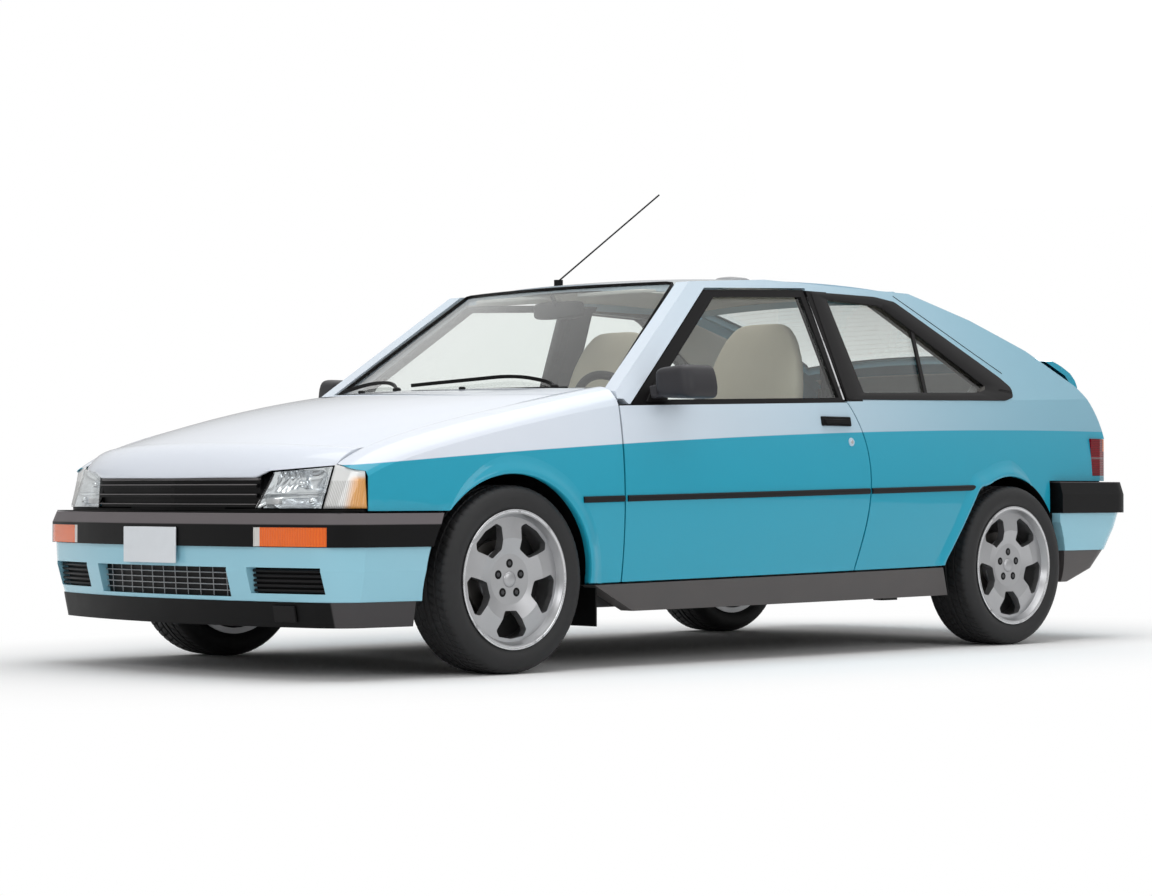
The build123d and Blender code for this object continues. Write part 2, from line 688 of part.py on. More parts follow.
def bumper_lamp():
    y0, y1, z0, z1 = BUMPER_LAMP
    shape = bumper_band(FRONT_PLAN, [(405.0, 2, 40), (462.6, 2, 40)])
    return shape & block(1882, 2100, y0 + 0.4, y1 - 0.4, 300, 600)


def front_skin():
    shape = bumper_band(FRONT_PLAN, [(237.4, 40, 75), (330.0, 16, 60), (402.6, 12, 60)])
    shape = front_cut(shape)
    y, z0, z1 = LOWER_GRILLE
    shape -= block(1700, 2200, -y, y, z0, z1)
    y0, y1, z0, z1 = SIDE_VENT
    for side in (1, -1):
        shape -= block(1800, 2200, side * y0, side * y1, z0, z1)
    return shape


def front_lip():
    shape = bumper_band(FRONT_PLAN, [(160.0, 52, 90), (237.0, 38, 90)])
    return front_cut(shape) - block(1000, 1650, -1000, 1000, 100, 600)


def grilles():
    y, z0, z1 = LOWER_GRILLE
    lower = bumper_band(FRONT_PLAN, [(z0 + 0.4, 62, 72), (z1 - 0.4, 50, 60)])
    lower &= block(1700, 2200, 0.4 - y, y - 0.4, 0, 600)
    y0, y1, z0, z1 = SIDE_VENT
    vent = bumper_band(FRONT_PLAN, [(z0 + 0.4, 60, 70), (z1 - 0.4, 50, 60)])
    vents = [vent & block(1800, 2200, s * (y0 + 0.4), s * (y1 - 0.4), 0, 600) for s in (1, -1)]
    slats = plan_prism([(1950, -413.6), (1972, -413.6), (1992, 0), (1972, 413.6), (1950, 413.6)], 512, 606)
    for z in (528.0, 558.0, 588.0):
        slats += plan_prism([(1950, -408), (1984, -408), (2006, 0), (1984, 408), (1950, 408)], z - 6, z + 6)
    return Compound(children=[*slats.solids(), *lower.solids(), *vents[0].solids(), *vents[1].solids()])


# corner lamp plan at its foot and at a height above its top
CORNER_LAMP_PLANS = (
    (519.0, ((CORNER_LAMP_X, 656), (1926, 656), (1897, 716), (1858, 752), (CORNER_LAMP_X, 759))),
    (660.0, ((CORNER_LAMP_X, 656), (1874, 656), (1862, 700), (1846, 734), (CORNER_LAMP_X, 742))),
)


def quad_loft(rows):
    """Block from side-view corners given at several y."""
    outlines = [Polyline(*[(x, y, z) for x, z in corners], close=True) for y, corners in rows]
    return loft([make_face(outline) for outline in outlines], ruled=True)


def front_lamps():
    head = quad_loft((
        (414.0, ((1880, 519), (1993, 519), (1962, 625), (1880, 625))),
        (650.0, ((1837, 519), (1930, 519), (1884, 644), (1837, 644))),
    ))
    corner = loft([
        make_face(Polyline(*[(x, y, z) for x, y in plan], close=True)) for z, plan in CORNER_LAMP_PLANS
    ], ruled=True)
    corner &= front_prism(lamp_top_room(0), 1800, 2000)
    return both(Compound(children=[head, *corner.solids()]))


# Rear end
def rear_cut(shape):
    for y0, y1 in ((400, 1000), (-1000, -400)):
        shape -= across(REAR_AXLE_X, WHEEL_R, ARCH_R + 10, y0, y1)
    return shape - block(-1000, -1560, -1000, 1000, 100, 700)


def rear_band():
    return rear_cut(bumper_band(REAR_PLAN, [(489.0, 0, 60), (560.0, 0, 60), (608.0, 14, 110)]))


def rear_skin():
    return rear_cut(bumper_band(REAR_PLAN, [(346.0, 14, 50, 108), (430.0, 12, 50, 48), (488.6, 12, 50, 18)]))


def rear_valance():
    rows = [(226.0, 24, 60, 330), (275.0, 22, 60, 185), (345.6, 18, 50, 112)]
    return rear_cut(bumper_band(REAR_PLAN, rows)) - tail_pipe(30)


# Sill skirts, mud flaps
def sill_skirt():
    rows = [(SILL_BOTTOM, 735.0, -905.0), (raised(SILL_TOP, -FIT_GAP), 919.0, -858.0)]
    shape = side_panel(rows, 0, 130, ruled=True)
    return shape - block(1000, -1000, 500, FLOOR_HALF + FIT_GAP, 100, 400)


def mud_flap():
    return block(919.4, 925.4, HALF_WIDTH - 140, HALF_WIDTH - 24, 138, 262)


# Floor and wheel housings
def floor_pan():
    shape = block(817.6, -930, -FLOOR_HALF, FLOOR_HALF, 195, 225)
    for side in (1, -1):
        shape += block(900, -845, side * 700.4, side * FLOOR_HALF, 195, 268)
        for x in JACK_X:
            shape += block(x - 40, x + 40, side * 680, side * 725, JACK_Z, 196)
    shape += block(-930, -900, -555, 555, 195, 400)
    shape += block(-900, -1915, -555, 555, 370, 400)
    shape += block(-1915, -1890, -600, 600, 370, 622)
    shape += block(-1985, -1900, -470, 470, 609, 622)
    return shape


FLOOR_HALF = HALF_WIDTH - 100.0
JACK_X = (640.0, -640.0)
JACK_Z = 180.0


def housing(axle_x, y_in, y_out, wall_low):
    shell = across(axle_x, WHEEL_R, HOUSING_R + 5, y_in, y_out)
    shell -= across(axle_x, WHEEL_R, HOUSING_R, y_in + 5, y_out + 1)
    shell -= block(axle_x - 400, axle_x + 400, y_in - 1, y_out + 1, -200, 305)
    return shell - block(axle_x - 400, axle_x + 400, y_in - 1, y_in + 6, -200, wall_low)


# Wheels
def tyre_profile():
    half = TYRE_WIDTH / 2
    edge = RIM_WIDTH / 2 - 8
    pts = [
        (RIM_BEAD_R + 1, edge), (RIM_LIP_R + 2, edge), (234.0, half - 4), (252.0, half),
        (278.0, half - 5), (291.0, half - 17), (WHEEL_R, half - 32),
    ]
    return [*pts, *[(r, -y) for r, y in pts[::-1]]]


def spin(points, axle_x, side):
    corners = [(axle_x + r, side * WHEEL_Y + side * y, WHEEL_R) for r, y in points]
    face = make_face(Polyline(*corners, close=True))
    return revolve(face, Axis((axle_x, 0, WHEEL_R), (0, 1, 0)), 360)


HUB_FACE = 67.0
HUB_BACK = -10.0
RIM_WINDOW = ((-24, 98), (24, 98), (64, 158), (52, 178), (0, 186), (-52, 178), (-64, 158))


def rim(axle_x, side):
    half = RIM_WIDTH / 2
    barrel = [
        (RIM_LIP_R, half), (RIM_LIP_R, half - 6), (RIM_BEAD_R, half - 7), (RIM_BEAD_R, 7 - half),
        (RIM_LIP_R, 6 - half), (RIM_LIP_R, -half), (RIM_BEAD_R - 6, -half), (RIM_BEAD_R - 12, 8 - half),
        (RIM_BEAD_R - 12, half - 30), (RIM_BEAD_R - 4, half - 12), (RIM_BEAD_R + 2, half),
    ]
    shape = spin(barrel, axle_x, side)
    disc = [
        (0.01, HUB_FACE), (80, HUB_FACE), (130, half - 14), (RIM_BEAD_R - 6, half - 22),
        (RIM_BEAD_R - 8, half - 44), (130, half - 44), (80, HUB_FACE - 34), (78, HUB_BACK), (0.01, HUB_BACK),
    ]
    disc = spin(disc, axle_x, side)
    y0 = side * (WHEEL_Y - 100)
    y1 = side * (WHEEL_Y + 120)
    for i in range(5):
        turn = Pos(axle_x, 0, WHEEL_R) * Rot(0, 72 * i + 36, 0)
        window = make_face(Polyline(*[(x, 0, z) for x, z in RIM_WINDOW], close=True))
        window = fillet(window.vertices(), 10)
        cut = extrude(window, amount=60, dir=(0, side, 0))
        disc -= turn * (Pos(0, side * (WHEEL_Y + 40), 0) * cut)
        bolt = Rot(0, 72 * i, 0)
        bore = across(0, 50, 9, side * (WHEEL_Y + HUB_FACE - 20), side * (WHEEL_Y + HUB_FACE + 10))
        disc -= Pos(axle_x, 0, WHEEL_R) * bolt * bore
    disc -= across(axle_x, WHEEL_R, STUB_R, side * (WHEEL_Y + HUB_BACK - 1), side * (WHEEL_Y + 50))
    return shape + disc


# Front suspension
STUB_END = 755.0


def knuckle():
    shape = across(FRONT_AXLE_X, WHEEL_R, 46, 645, 690)
    shape += across(FRONT_AXLE_X, WHEEL_R, STUB_R - STUB_CLEARANCE, 690, STUB_END)
    shape += bar((FRONT_AXLE_X, KINGPIN_Y, 222.4), (FRONT_AXLE_X, KINGPIN_Y, 300), 16)
    shape += block(1140, FRONT_AXLE_X, 650, 668, 285, 305)
    return shape


def front_suspension():
    shape = block(1190, 1340, -440, 440, 200, 240)
    for side in (1, -1):
        shape += bar((1300, side * 420, 218), (FRONT_AXLE_X, side * KINGPIN_Y, 208), 13)
        shape += bar((FRONT_AXLE_X, side * KINGPIN_Y, 196), (FRONT_AXLE_X, side * KINGPIN_Y, 222), 18)
        foot = (FRONT_AXLE_X, side * STRUT_Y, 205)
        shape += bar(foot, (FRONT_AXLE_X, side * STRUT_Y, WHEEL_R + HOUSING_R - 8), 24)
    return shape


STRUT_Y = 545.0


def rear_axle():
    shape = bar((-1080, -540, 275), (-1080, 540, 275), 30)
    for side in (1, -1):
        shape += bar((-945, side * 520, 262), (REAR_AXLE_X, side * 560, WHEEL_R), 24)
        shape += across(REAR_AXLE_X, WHEEL_R, 45, side * 545, side * 690)
        shape += across(REAR_AXLE_X, WHEEL_R, STUB_R - STUB_CLEARANCE, side * 690, side * STUB_END)
        shape += bar((-1180, side * 520, 285), (-1180, side * 520, 369.6), 40)
        shape += block(-965, -900.4 - 30, side * 500, side * 540, 240, 290)
    return shape


def exhaust():
    shape = bar((1000, -150, 174.6), (-1150, -150, 174.6), 20)
    shape += Sphere(20).moved(Location((-1150, -150, 174.6)))
    shape += bar((-1150, -150, 174.6), (-1400, -390, 284.6), 20)
    shape += bar((-1380, -420, 284.6), (-1675, -420, 284.6), 85)
    return shape + tail_pipe(22)


def tail_pipe(radius):
    return bar((-1660, -470, 288), (-1990, -470, 250), radius)


def fuel_tank():
    return block(-935.4, -1045, -400, 400, 215, 369.6)


def engine():
    return block(1000, 1470, -400, 400, 250, 690)


def radiator():
    return block(1700, 1740, -560, 560, 250, 640) + block(1740, 1835, -400, 400, 590, 610)


# Cabin
def front_seat():
    cushion = side_prism(((330, 300), (345, 420), (-120, 380), (-160, 290)), 135, 605)
    outline = ((-110, 385), (-150, 330), (-235, 380), (-400, 1150), (-360, 1175), (-310, 1150))
    back = side_prism(outline, 150, 590)
    rails = block(250, -120, 160, 200, 225.4, 300) + block(250, -120, 540, 580, 225.4, 300)
    return cushion + back + rails


def rear_seat():
    cushion = side_prism(((-560, 400.4), (-560, 490), (-900, 455), (-930, 400.4)), -540, 540)
    back = side_prism(((-895, 400.4), (-900, 470), (-1090, 930), (-1130, 930), (-960, 400.4)), -540, 540)
    legs = block(-570, -890, -500, 500, 225.4, 400.4)
    return cushion + back + legs


def dashboard():
    outline = ((817, 560), (817, 838), (640, 885), (525, 872), (505, 760), (560, 600))
    return side_prism(outline, -610, 610) - column_bar(26, 400)


WHEEL_HUB = (400.0, 370.0, 806.0)
COLUMN_TILT = 25.0
STEERING_RIM_R = 180.0


def steering_wheel():
    tilt = radians(COLUMN_TILT)
    axis = Vector(-cos(tilt), 0, sin(tilt))
    plane = Plane(origin=WHEEL_HUB, z_dir=axis, x_dir=(0, 1, 0))
    shape = plane * Torus(STEERING_RIM_R, 15)
    shape += plane * Pos(0, 0, -10) * Cylinder(50, 30)
    shape += plane * Pos(0, 0, -10) * Box(2 * STEERING_RIM_R - 4, 40, 12)
    return shape + column_bar(20, 150)


def column_bar(radius, length):
    """Round bar down the steering column from the wheel's hub."""
    tilt = radians(COLUMN_TILT)
    hub = Vector(*WHEEL_HUB)
    return bar(hub, hub + Vector(cos(tilt), 0, -sin(tilt)) * length, radius)


WIPER_R = 4.0


def screen_point(y, up, lift):
    """Point above the windscreen: distance up the glass from its base, and lift off its face."""
    run = (SCREEN_TOP[0] - SCREEN_BASE[0], SCREEN_TOP[1] - SCREEN_BASE[1])
    ux, uz = run[0] / hypot(*run), run[1] / hypot(*run)
    return (SCREEN_BASE[0] - screen_shift(y) + ux * up + uz * lift, y, SCREEN_BASE[1] + uz * up - ux * lift)


def wipers():
    blades = []
    for y0, y1 in ((560.0, 60.0), (20.0, -480.0)):
        p = [screen_point(y0 + (y1 - y0) * i / 4, 24.0, WIPER_R + 1.6) for i in range(5)]
        blade = bar(p[0], p[1], WIPER_R)
        for a, b in zip(p[1:], p[2:]):
            blade += Sphere(WIPER_R).moved(Location(a)) + bar(a, b, WIPER_R)
        blades += blade.solids()
    return Compound(children=blades)


ANTENNA_FOOT = (318.0, 0.0, 1302.0)
ANTENNA_TIP = (-194.0, 0.0, 1661.0)


def antenna(roof_shape):
    foot = Pos(ANTENNA_FOOT) * Cylinder(16, 40) - Pos(0, 0, FIT_GAP) * roof_shape
    foot = foot.solids().sort_by(Axis.Z)[-1]
    return foot + bar((ANTENNA_FOOT[0], 0, ANTENNA_FOOT[2] + 16), ANTENNA_TIP, 3)


parts["floor_pan"] = floor_pan()
parts["scuttle"] = scuttle()
parts["front_wheel_housings"] = both(housing(FRONT_AXLE_X, HALF_WIDTH - 390, HALF_WIDTH - 62, 430))
parts["rear_wheel_housings"] = both(housing(REAR_AXLE_X, HALF_WIDTH - 265, HALF_WIDTH - 140, 350))
parts["engine_block"] = engine()
parts["radiator_panel"] = radiator()
parts["wing_left"] = wing()
parts["bodyside_left"] = bodyside()
parts["windscreen"] = windscreen()
parts["roof_panel"] = roof()
glass = leaning_slab(-300.0, -1400.0, 12, 12 + GLASS) & side_prism(inset_polygon(QUARTER_WINDOW, FIT_GAP))
parts["quarter_glasses"] = both(glass)
parts["front_bumper_band"] = front_band()
parts["front_bumper_skin"] = front_skin()
parts["front_lip"] = front_lip()
parts["bumper_lamps"] = both(bumper_lamp())
parts["front_lamps"] = front_lamps()
parts["grilles"] = grilles()
parts["tail_lamps"] = both(tail_lamp())
parts["rear_bumper_band"] = rear_band()
parts["rear_bumper_skin"] = rear_skin()
parts["rear_valance"] = rear_valance()
parts["sill_skirts"] = both(sill_skirt())
parts["mud_flaps"] = both(mud_flap())
parts["front_seats"] = both(front_seat())
parts["rear_seat"] = rear_seat()
parts["dashboard"] = dashboard()
parts["wipers"] = wipers()
parts["antenna"] = antenna(parts["roof_panel"])
parts["exhaust"] = exhaust()
parts["fuel_tank"] = fuel_tank()
parts["rear_axle"] = rear_axle()
parts["front_suspension"] = front_suspension()
parts["bonnet"] = bonnet()
parts["tailgate"] = hatch()
parts["tailgate_glass"] = hatch_glass()
parts["door_left"] = door()
parts["door_glass_left"] = door_glass()
parts["door_mirror_left"] = door_mirror()
parts["knuckle_left"] = knuckle()
parts["steering_wheel"] = steering_wheel()
for end, axle_x in (("front", FRONT_AXLE_X), ("rear", REAR_AXLE_X)):
    for name, side in (("left", 1), ("right", -1)):
        parts[f"tyre_{end}_{name}"] = spin(tyre_profile(), axle_x, side)
        parts[f"rim_{end}_{name}"] = rim(axle_x, side)
for name in ("wing", "bodyside", "door", "door_glass", "door_mirror", "knuckle"):
    parts[f"{name}_right"] = mirrored(parts[f"{name}_left"])

os.makedirs("parts", exist_ok=True)
for name, shape in parts.items():
    export_step(shape, f"parts/{name}.step")
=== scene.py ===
# %% [markdown]
# This lesson dresses a small three-door hatchback from the nineteen eighties. The imported CAD model gives
# every panel, wheel and hinge its place, so the first step only loads it. All lengths in
# the tables below are written in millimetres, as on a body drawing, and one factor turns them into
# Blender's metres.

# %% Load the CAD frame
import json
import math

import bmesh
import bpy
import numpy as np
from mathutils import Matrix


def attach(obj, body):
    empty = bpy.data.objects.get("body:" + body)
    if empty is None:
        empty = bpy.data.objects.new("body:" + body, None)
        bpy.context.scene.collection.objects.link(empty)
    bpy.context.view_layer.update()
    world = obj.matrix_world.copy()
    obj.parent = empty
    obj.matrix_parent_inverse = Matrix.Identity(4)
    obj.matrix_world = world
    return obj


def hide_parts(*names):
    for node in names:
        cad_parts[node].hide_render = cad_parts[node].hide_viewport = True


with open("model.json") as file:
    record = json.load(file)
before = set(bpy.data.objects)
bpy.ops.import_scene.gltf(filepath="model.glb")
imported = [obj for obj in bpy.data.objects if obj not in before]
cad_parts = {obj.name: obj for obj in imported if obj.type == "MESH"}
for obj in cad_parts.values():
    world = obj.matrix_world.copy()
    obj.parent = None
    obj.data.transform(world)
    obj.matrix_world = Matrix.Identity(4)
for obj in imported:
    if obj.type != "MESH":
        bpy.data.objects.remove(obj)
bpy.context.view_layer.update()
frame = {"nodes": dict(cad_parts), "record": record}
MM = 0.001
SIDES = (("left", 1), ("right", -1))

# %% [markdown]
# The photograph was taken with a long lens from a low place in front of the left headlamp. The camera's
# place, heading and lens were fitted to the wheels and the body's known sizes, so the render lies over the
# photograph.

# %% Camera
CAMERA_PLACE = (7.4383, 7.4349, 0.5687)
CAMERA_HEADING, CAMERA_RISE, CAMERA_LENS = 225.892, 0.8707, 90.62
lens = bpy.data.cameras.new("studio_camera")
lens.lens, lens.sensor_width, lens.sensor_fit = CAMERA_LENS, 36.0, "HORIZONTAL"
camera = bpy.data.objects.new("studio_camera", lens)
camera.location = CAMERA_PLACE
camera.rotation_euler = (math.radians(90 + CAMERA_RISE), 0, math.radians(CAMERA_HEADING - 90))
bpy.context.scene.collection.objects.link(camera)
bpy.context.scene.camera = camera
bpy.context.scene.view_settings.view_transform = "Standard"
print("camera at", CAMERA_PLACE)

# %% [markdown]
# Shaders are sums and products of patterns, so they read best as plain expressions. The class below wraps
# one socket: arithmetic on it adds Math nodes, and its node method adds any other node, settings first,
# sockets next.

# %% Shader arithmetic
class Wire:
    """One output socket of a material; + - * add Math nodes behind it, step() a mask, blend() a mix."""

    def __init__(self, tree, socket=None):
        self.tree, self.socket = tree, socket

    def node(self, kind, settings=None, sockets=None, out=0):
        """Adds a node of this kind, sets it up, fills its sockets and returns one of its outputs."""
        new = self.tree.nodes.new("ShaderNode" + kind)
        for key, value in (settings or {}).items():
            setattr(new, key, value)
        for key, value in (sockets or {}).items():
            if isinstance(value, Wire):
                self.tree.links.new(value.socket, new.inputs[key])
            else:
                new.inputs[key].default_value = value
        return Wire(self.tree, new.outputs[out])

    def sum(self, operation, *values):
        """One Math node with this operation on up to three values."""
        return self.node("Math", {"operation": operation}, dict(enumerate(values)))

    def __add__(self, other):
        return self.sum("ADD", self, other)

    def __sub__(self, other):
        return self.sum("SUBTRACT", self, other)

    def __rsub__(self, other):
        return self.sum("SUBTRACT", other, self)

    def __mul__(self, other):
        return self.sum("MULTIPLY", self, other)

    __radd__, __rmul__ = __add__, __mul__

    def step(self, low, high):
        """0 below low, 1 above high and a smooth rise between them; low may be the larger of the two."""
        limits = {"Value": self, "From Min": low, "From Max": high}
        return self.node("MapRange", {"interpolation_type": "SMOOTHSTEP"}, limits)

    def blend(self, first, second):
        """The first colour where this mask is 0, the second where it is 1."""
        return self.node("Mix", {"data_type": "RGBA"}, {0: self, 6: first, 7: second}, 2)

    def noise(self, scale, detail=3.0):
        """Cloud noise at this many cells a metre, read on Object coordinates."""
        place = self.node("TexCoord", out=3)
        return self.node("TexNoise", None, {"Vector": place, "Scale": scale, "Detail": detail})

    def axes(self):
        """The x, y and z of Object coordinates in metres, as three wires."""
        place = self.node("TexCoord", out=3)
        return [self.node("SeparateXYZ", None, {0: place}, axis) for axis in range(3)]

    def bump(self, height, strength, distance):
        """A normal tilted by this height pattern; distance is its depth in metres."""
        return self.node("Bump", None, {"Height": height, "Strength": strength, "Distance": distance})


def tone(red, green, blue):
    """A colour as a picture editor shows it, 0 to 255, turned into the linear light that shaders work in."""
    shown = np.array((red, green, blue)) / 255.0
    linear = np.where(shown < 0.04045, shown / 12.92, ((shown + 0.055) / 1.055) ** 2.4)
    return (*[float(value) for value in linear], 1.0)


def finish_of(name, recipe, **constants):
    """A material whose Principled shader takes constants by socket name and links from recipe(wire)."""
    material = bpy.data.materials.new(name)
    material.use_nodes = True
    shader = material.node_tree.nodes["Principled BSDF"]
    for key, value in constants.items():
        shader.inputs[key.replace("_", " ").title().replace("Ior", "IOR")].default_value = value
    for key, wire in recipe(Wire(material.node_tree)).items():
        material.node_tree.links.new(wire.socket, shader.inputs[key])
    return material


print("shader arithmetic ready")

# %% [markdown]
# The paint is two solid colours under clear lacquer: a very pale blue above a line that runs along the
# flank, and turquoise below it. Toward the tail the pale blue turns bluer, its own hue, and darker, which is
# painted shade. Painting by height on Object coordinates keeps that line unbroken across wing, door and
# quarter. A trace of flake and orange peel is all that separates good paint from plastic.

# %% Body paint
# The tail end of the pale colour is a bluer hue, darkened by painted shade.
PALE_FRONT, PALE_REAR_SHADED = tone(226, 232, 242), tone(128, 180, 200)
TURQUOISE, SKY = tone(20, 158, 186), tone(140, 198, 216)
FLAKE_TINT = (0.9, 0.96, 1.0, 1.0)


def lacquer(wire, colour):
    """Adds faint flake to a colour and a long orange-peel ripple to its lacquer."""
    flake = wire.noise(2600.0, 1.0)
    peel = wire.noise(160.0, 2.0)
    tinted = (flake * 0.02).blend(colour, FLAKE_TINT)
    return {"Base Color": tinted, "Roughness": flake * 0.08 + 0.30, "Normal": wire.bump(peel, 0.05, 0.002)}


def pale(wire):
    """The pale colour, which turns bluer and darker from the nose at x = 1.6 to the tail at x = -1.9 metres;
    the darkening is painted shade.
    """
    return wire.axes()[0].step(1.6, -1.9).blend(PALE_FRONT, PALE_REAR_SHADED)


def two_tone(wire):
    """Pale above z = 0.765 - 0.0412 x - 0.01084 x^2 metres, turquoise below; the edge is 3 mm soft."""
    x, y, z = wire.axes()
    line = 0.765 - x * 0.0412 - x * x * 0.01084
    above = (z - line).step(-0.0015, 0.0015)
    return lacquer(wire, above.blend(TURQUOISE, pale(wire)))


GLOSS = {"coat_weight": 1.0, "coat_roughness": 0.03, "coat_ior": 1.38, "specular_ior_level": 0.1}
body_paint = finish_of("body_paint_two_tone", two_tone, **GLOSS)
upper_paint = finish_of("upper_paint_pale", lambda wire: lacquer(wire, pale(wire)), **GLOSS)
bumper_paint = finish_of("bumper_paint_sky",
                         lambda wire: lacquer(wire, (wire.noise(3.0) * 0.1).blend(SKY, PALE_FRONT)), **GLOSS)
print("paints ready")

# %% [markdown]
# Black parts are moulded plastic with a fine leather-like grain, sills and mirrors two darker greys. Real
# trim fades and polishes unevenly, so the roughness wanders a little over each piece.

# %% Plastics, metals and rubber
def grained(dark, light, rough, depth):
    """Plastic between two tones of a cloud pattern, with a fine pebble grain of this depth."""
    def recipe(wire):
        cloud = wire.noise(9.0, 4.0)
        grain = wire.noise(900.0, 2.0)
        return {"Base Color": cloud.blend(dark, light), "Roughness": cloud * 0.18 + rough,
                "Normal": wire.bump(grain, 0.35, depth)}
    return recipe


black_plastic = finish_of("black_grained_plastic", grained(tone(7, 7, 8), tone(13, 13, 14), 0.36, 0.0004),
                          specular_ior_level=0.14)
sill_plastic = finish_of("grey_grained_plastic", grained(tone(70, 67, 67), tone(84, 80, 79), 0.42, 0.0004))
mirror_plastic = finish_of("mirror_plastic", grained(tone(42, 42, 45), tone(52, 51, 55), 0.36, 0.0004),
                           specular_ior_level=0.3)
underseal = finish_of("underseal", grained(tone(24, 24, 26), tone(44, 43, 42), 0.72, 0.002))
cabin_plastic = finish_of("cabin_plastic", grained(tone(92, 92, 94), tone(106, 105, 106), 0.55, 0.0005))
cast_iron = finish_of("cast_iron", grained(tone(52, 50, 48), tone(80, 76, 72), 0.6, 0.001), metallic=0.6)
steel = finish_of("exhaust_steel", grained(tone(120, 118, 114), tone(150, 146, 140), 0.3, 0.0003),
                  metallic=1.0)


def satin_alloy(wire):
    """Silver lacquered aluminium: a fine metal flake and slow changes of polish."""
    flake = wire.noise(1800.0, 1.0)
    cloud = wire.noise(14.0, 3.0)
    return {"Base Color": (flake * 0.35 + cloud * 0.3).blend(tone(158, 159, 161), tone(198, 198, 200)),
            "Roughness": cloud * 0.14 + 0.26}


def tyre_finish(wire):
    """Rubber with clouds of grey scuffing and fine mould grain."""
    cloud = wire.noise(18.0, 4.0)
    grain = wire.noise(1400.0, 2.0)
    return {"Base Color": cloud.blend(tone(25, 25, 26), tone(43, 43, 44)), "Roughness": cloud * 0.2 + 0.5,
            "Normal": wire.bump(grain, 0.3, 0.0004)}


alloy = finish_of("silver_alloy", satin_alloy, metallic=0.85)
rubber = finish_of("moulded_rubber", tyre_finish, specular_ior_level=0.35)
print("plastics and metals ready")

# %% [markdown]
# Window glass is thin, so bending of light hardly shows: a transparent shader with a faint green tint, and
# a sharp reflection that grows toward grazing angles, is quicker and cleaner than real refraction.

# %% Glass
def pane(name, tint, shine):
    """Thin glass: a tinted transparent shader and a sharp glossy one, whose share is shine + 0.9 facing^5
    and a trace of dust."""
    material = bpy.data.materials.new(name)
    material.use_nodes = True
    tree = material.node_tree
    tree.nodes.remove(tree.nodes["Principled BSDF"])
    wire = Wire(tree)
    clear = wire.node("BsdfTransparent", None, {"Color": tint})
    gloss = wire.node("BsdfGlossy", None, {"Color": (1, 1, 1, 1), "Roughness": 0.02})
    facing = wire.node("LayerWeight", None, {"Blend": 0.5}, 1)
    dust = wire.noise(6.0, 4.0) * 0.02
    share = wire.sum("POWER", facing, 5.0) * 0.9 + shine + dust
    mixed = wire.node("MixShader", None, {0: share, 1: clear, 2: gloss})
    tree.links.new(mixed.socket, tree.nodes["Material Output"].inputs["Surface"])
    return material


window_glass = pane("window_glass", tone(249, 251, 250), 0.04)
lamp_glass = pane("lamp_glass", tone(248, 249, 249), 0.03)
print("glass ready")

# %% [markdown]
# Lens plastics glow a little because the light goes in and comes back. A coloured, coated surface with
# moulded ribs looks right at any distance. The tail lamps are one moulding with fields of colour: red at
# the side, amber above, clear by the plate, and a pale rib at mid height. The fields are masks on place.

# %% Lens plastics
def ribbed(dark, light, pitch, axis):
    """Coloured plastic with moulded ribs every pitch metres along one axis of Object coordinates."""
    def recipe(wire):
        across = wire.axes()[axis]
        wave = wire.sum("SINE", across * (2 * math.pi / pitch)) * 0.5 + 0.5
        return {"Base Color": (wave * 0.8).blend(dark, light), "Roughness": wave * 0.1 + 0.12,
                "Normal": wire.bump(wave, 0.6, 0.002)}
    return recipe


def indicator_recipe(wire):
    """Amber plastic with shallow ribs; the strip inside y = 0.487 is clear."""
    links = ribbed(tone(232, 96, 8), tone(238, 108, 12), 0.009, 1)(wire)
    inner = wire.sum("ABSOLUTE", wire.axes()[1]).step(0.4875, 0.4865)
    links["Base Color"] = inner.blend(links["Base Color"], tone(210, 208, 204))
    return links


def tail_recipe(wire):
    """Red lens with a pale rib at z = 0.700; its rear face is amber above z = 0.728 and clear inside
    y = 0.560."""
    x, y, z = wire.axes()
    wave = wire.sum("SINE", z * 900.0) * 0.5 + 0.5
    behind = x.step(-1.940, -1.945)
    wide = wire.sum("ABSOLUTE", y)
    red = (wave * 0.8).blend(tone(92, 0, 14), tone(140, 2, 26))
    amber = (z.step(0.727, 0.729) * behind).blend(red, tone(214, 110, 32))
    clear = (wide.step(0.561, 0.559) * behind).blend(amber, tone(214, 214, 212))
    rib = z.step(0.696, 0.697) * z.step(0.705, 0.704)
    return {"Base Color": rib.blend(clear, tone(120, 92, 96)), "Roughness": wave * 0.12 + 0.1,
            "Normal": wire.bump(wave, 0.5, 0.0015)}


amber_lens = finish_of("amber_lens", indicator_recipe, coat_weight=0.5, specular_ior_level=0.2)
tail_lens = finish_of("tail_lamp_lens", tail_recipe, coat_weight=0.1, coat_roughness=0.02,
                      specular_ior_level=0.1)
print("lenses ready")

# %% Give every CAD node its finish
SLOT_FINISH = {
    "body_paint": body_paint, "upper_paint": upper_paint, "bumper_paint": bumper_paint,
    "black_plastic": black_plastic, "dark_plastic": sill_plastic, "underbody": underseal,
    "glass": window_glass, "lamp_glass": lamp_glass, "amber": amber_lens, "red_lens": tail_lens,
    "alloy": alloy, "tyre": rubber, "steel": steel, "iron": cast_iron, "seat_cloth": cabin_plastic,
    "cabin_plastic": cabin_plastic,
}


def repaint(node, finish):
    """Puts one finish into every material slot of a CAD node."""
    for place in frame["nodes"][node].material_slots:
        place.material = finish


for part in frame["record"]["subparts"]:
    repaint(part["node"], SLOT_FINISH[part["material_slot"]])

# %% [markdown]
# Every new piece is a grid of points worked out by numpy: rows run one way over the surface, columns the
# other. One helper joins such grids into a mesh, closes seams and poles by merging doubles, shades it
# smooth with crisp corners, and makes it ride on its body. Mirrored grids have their columns turned round,
# so faces stay outward.

# %% Grids into pieces
def across_car(grid):
    """The same grid on the other side of the car, wound so that it still faces outwards."""
    return (grid * (1, -1, 1))[:, ::-1]


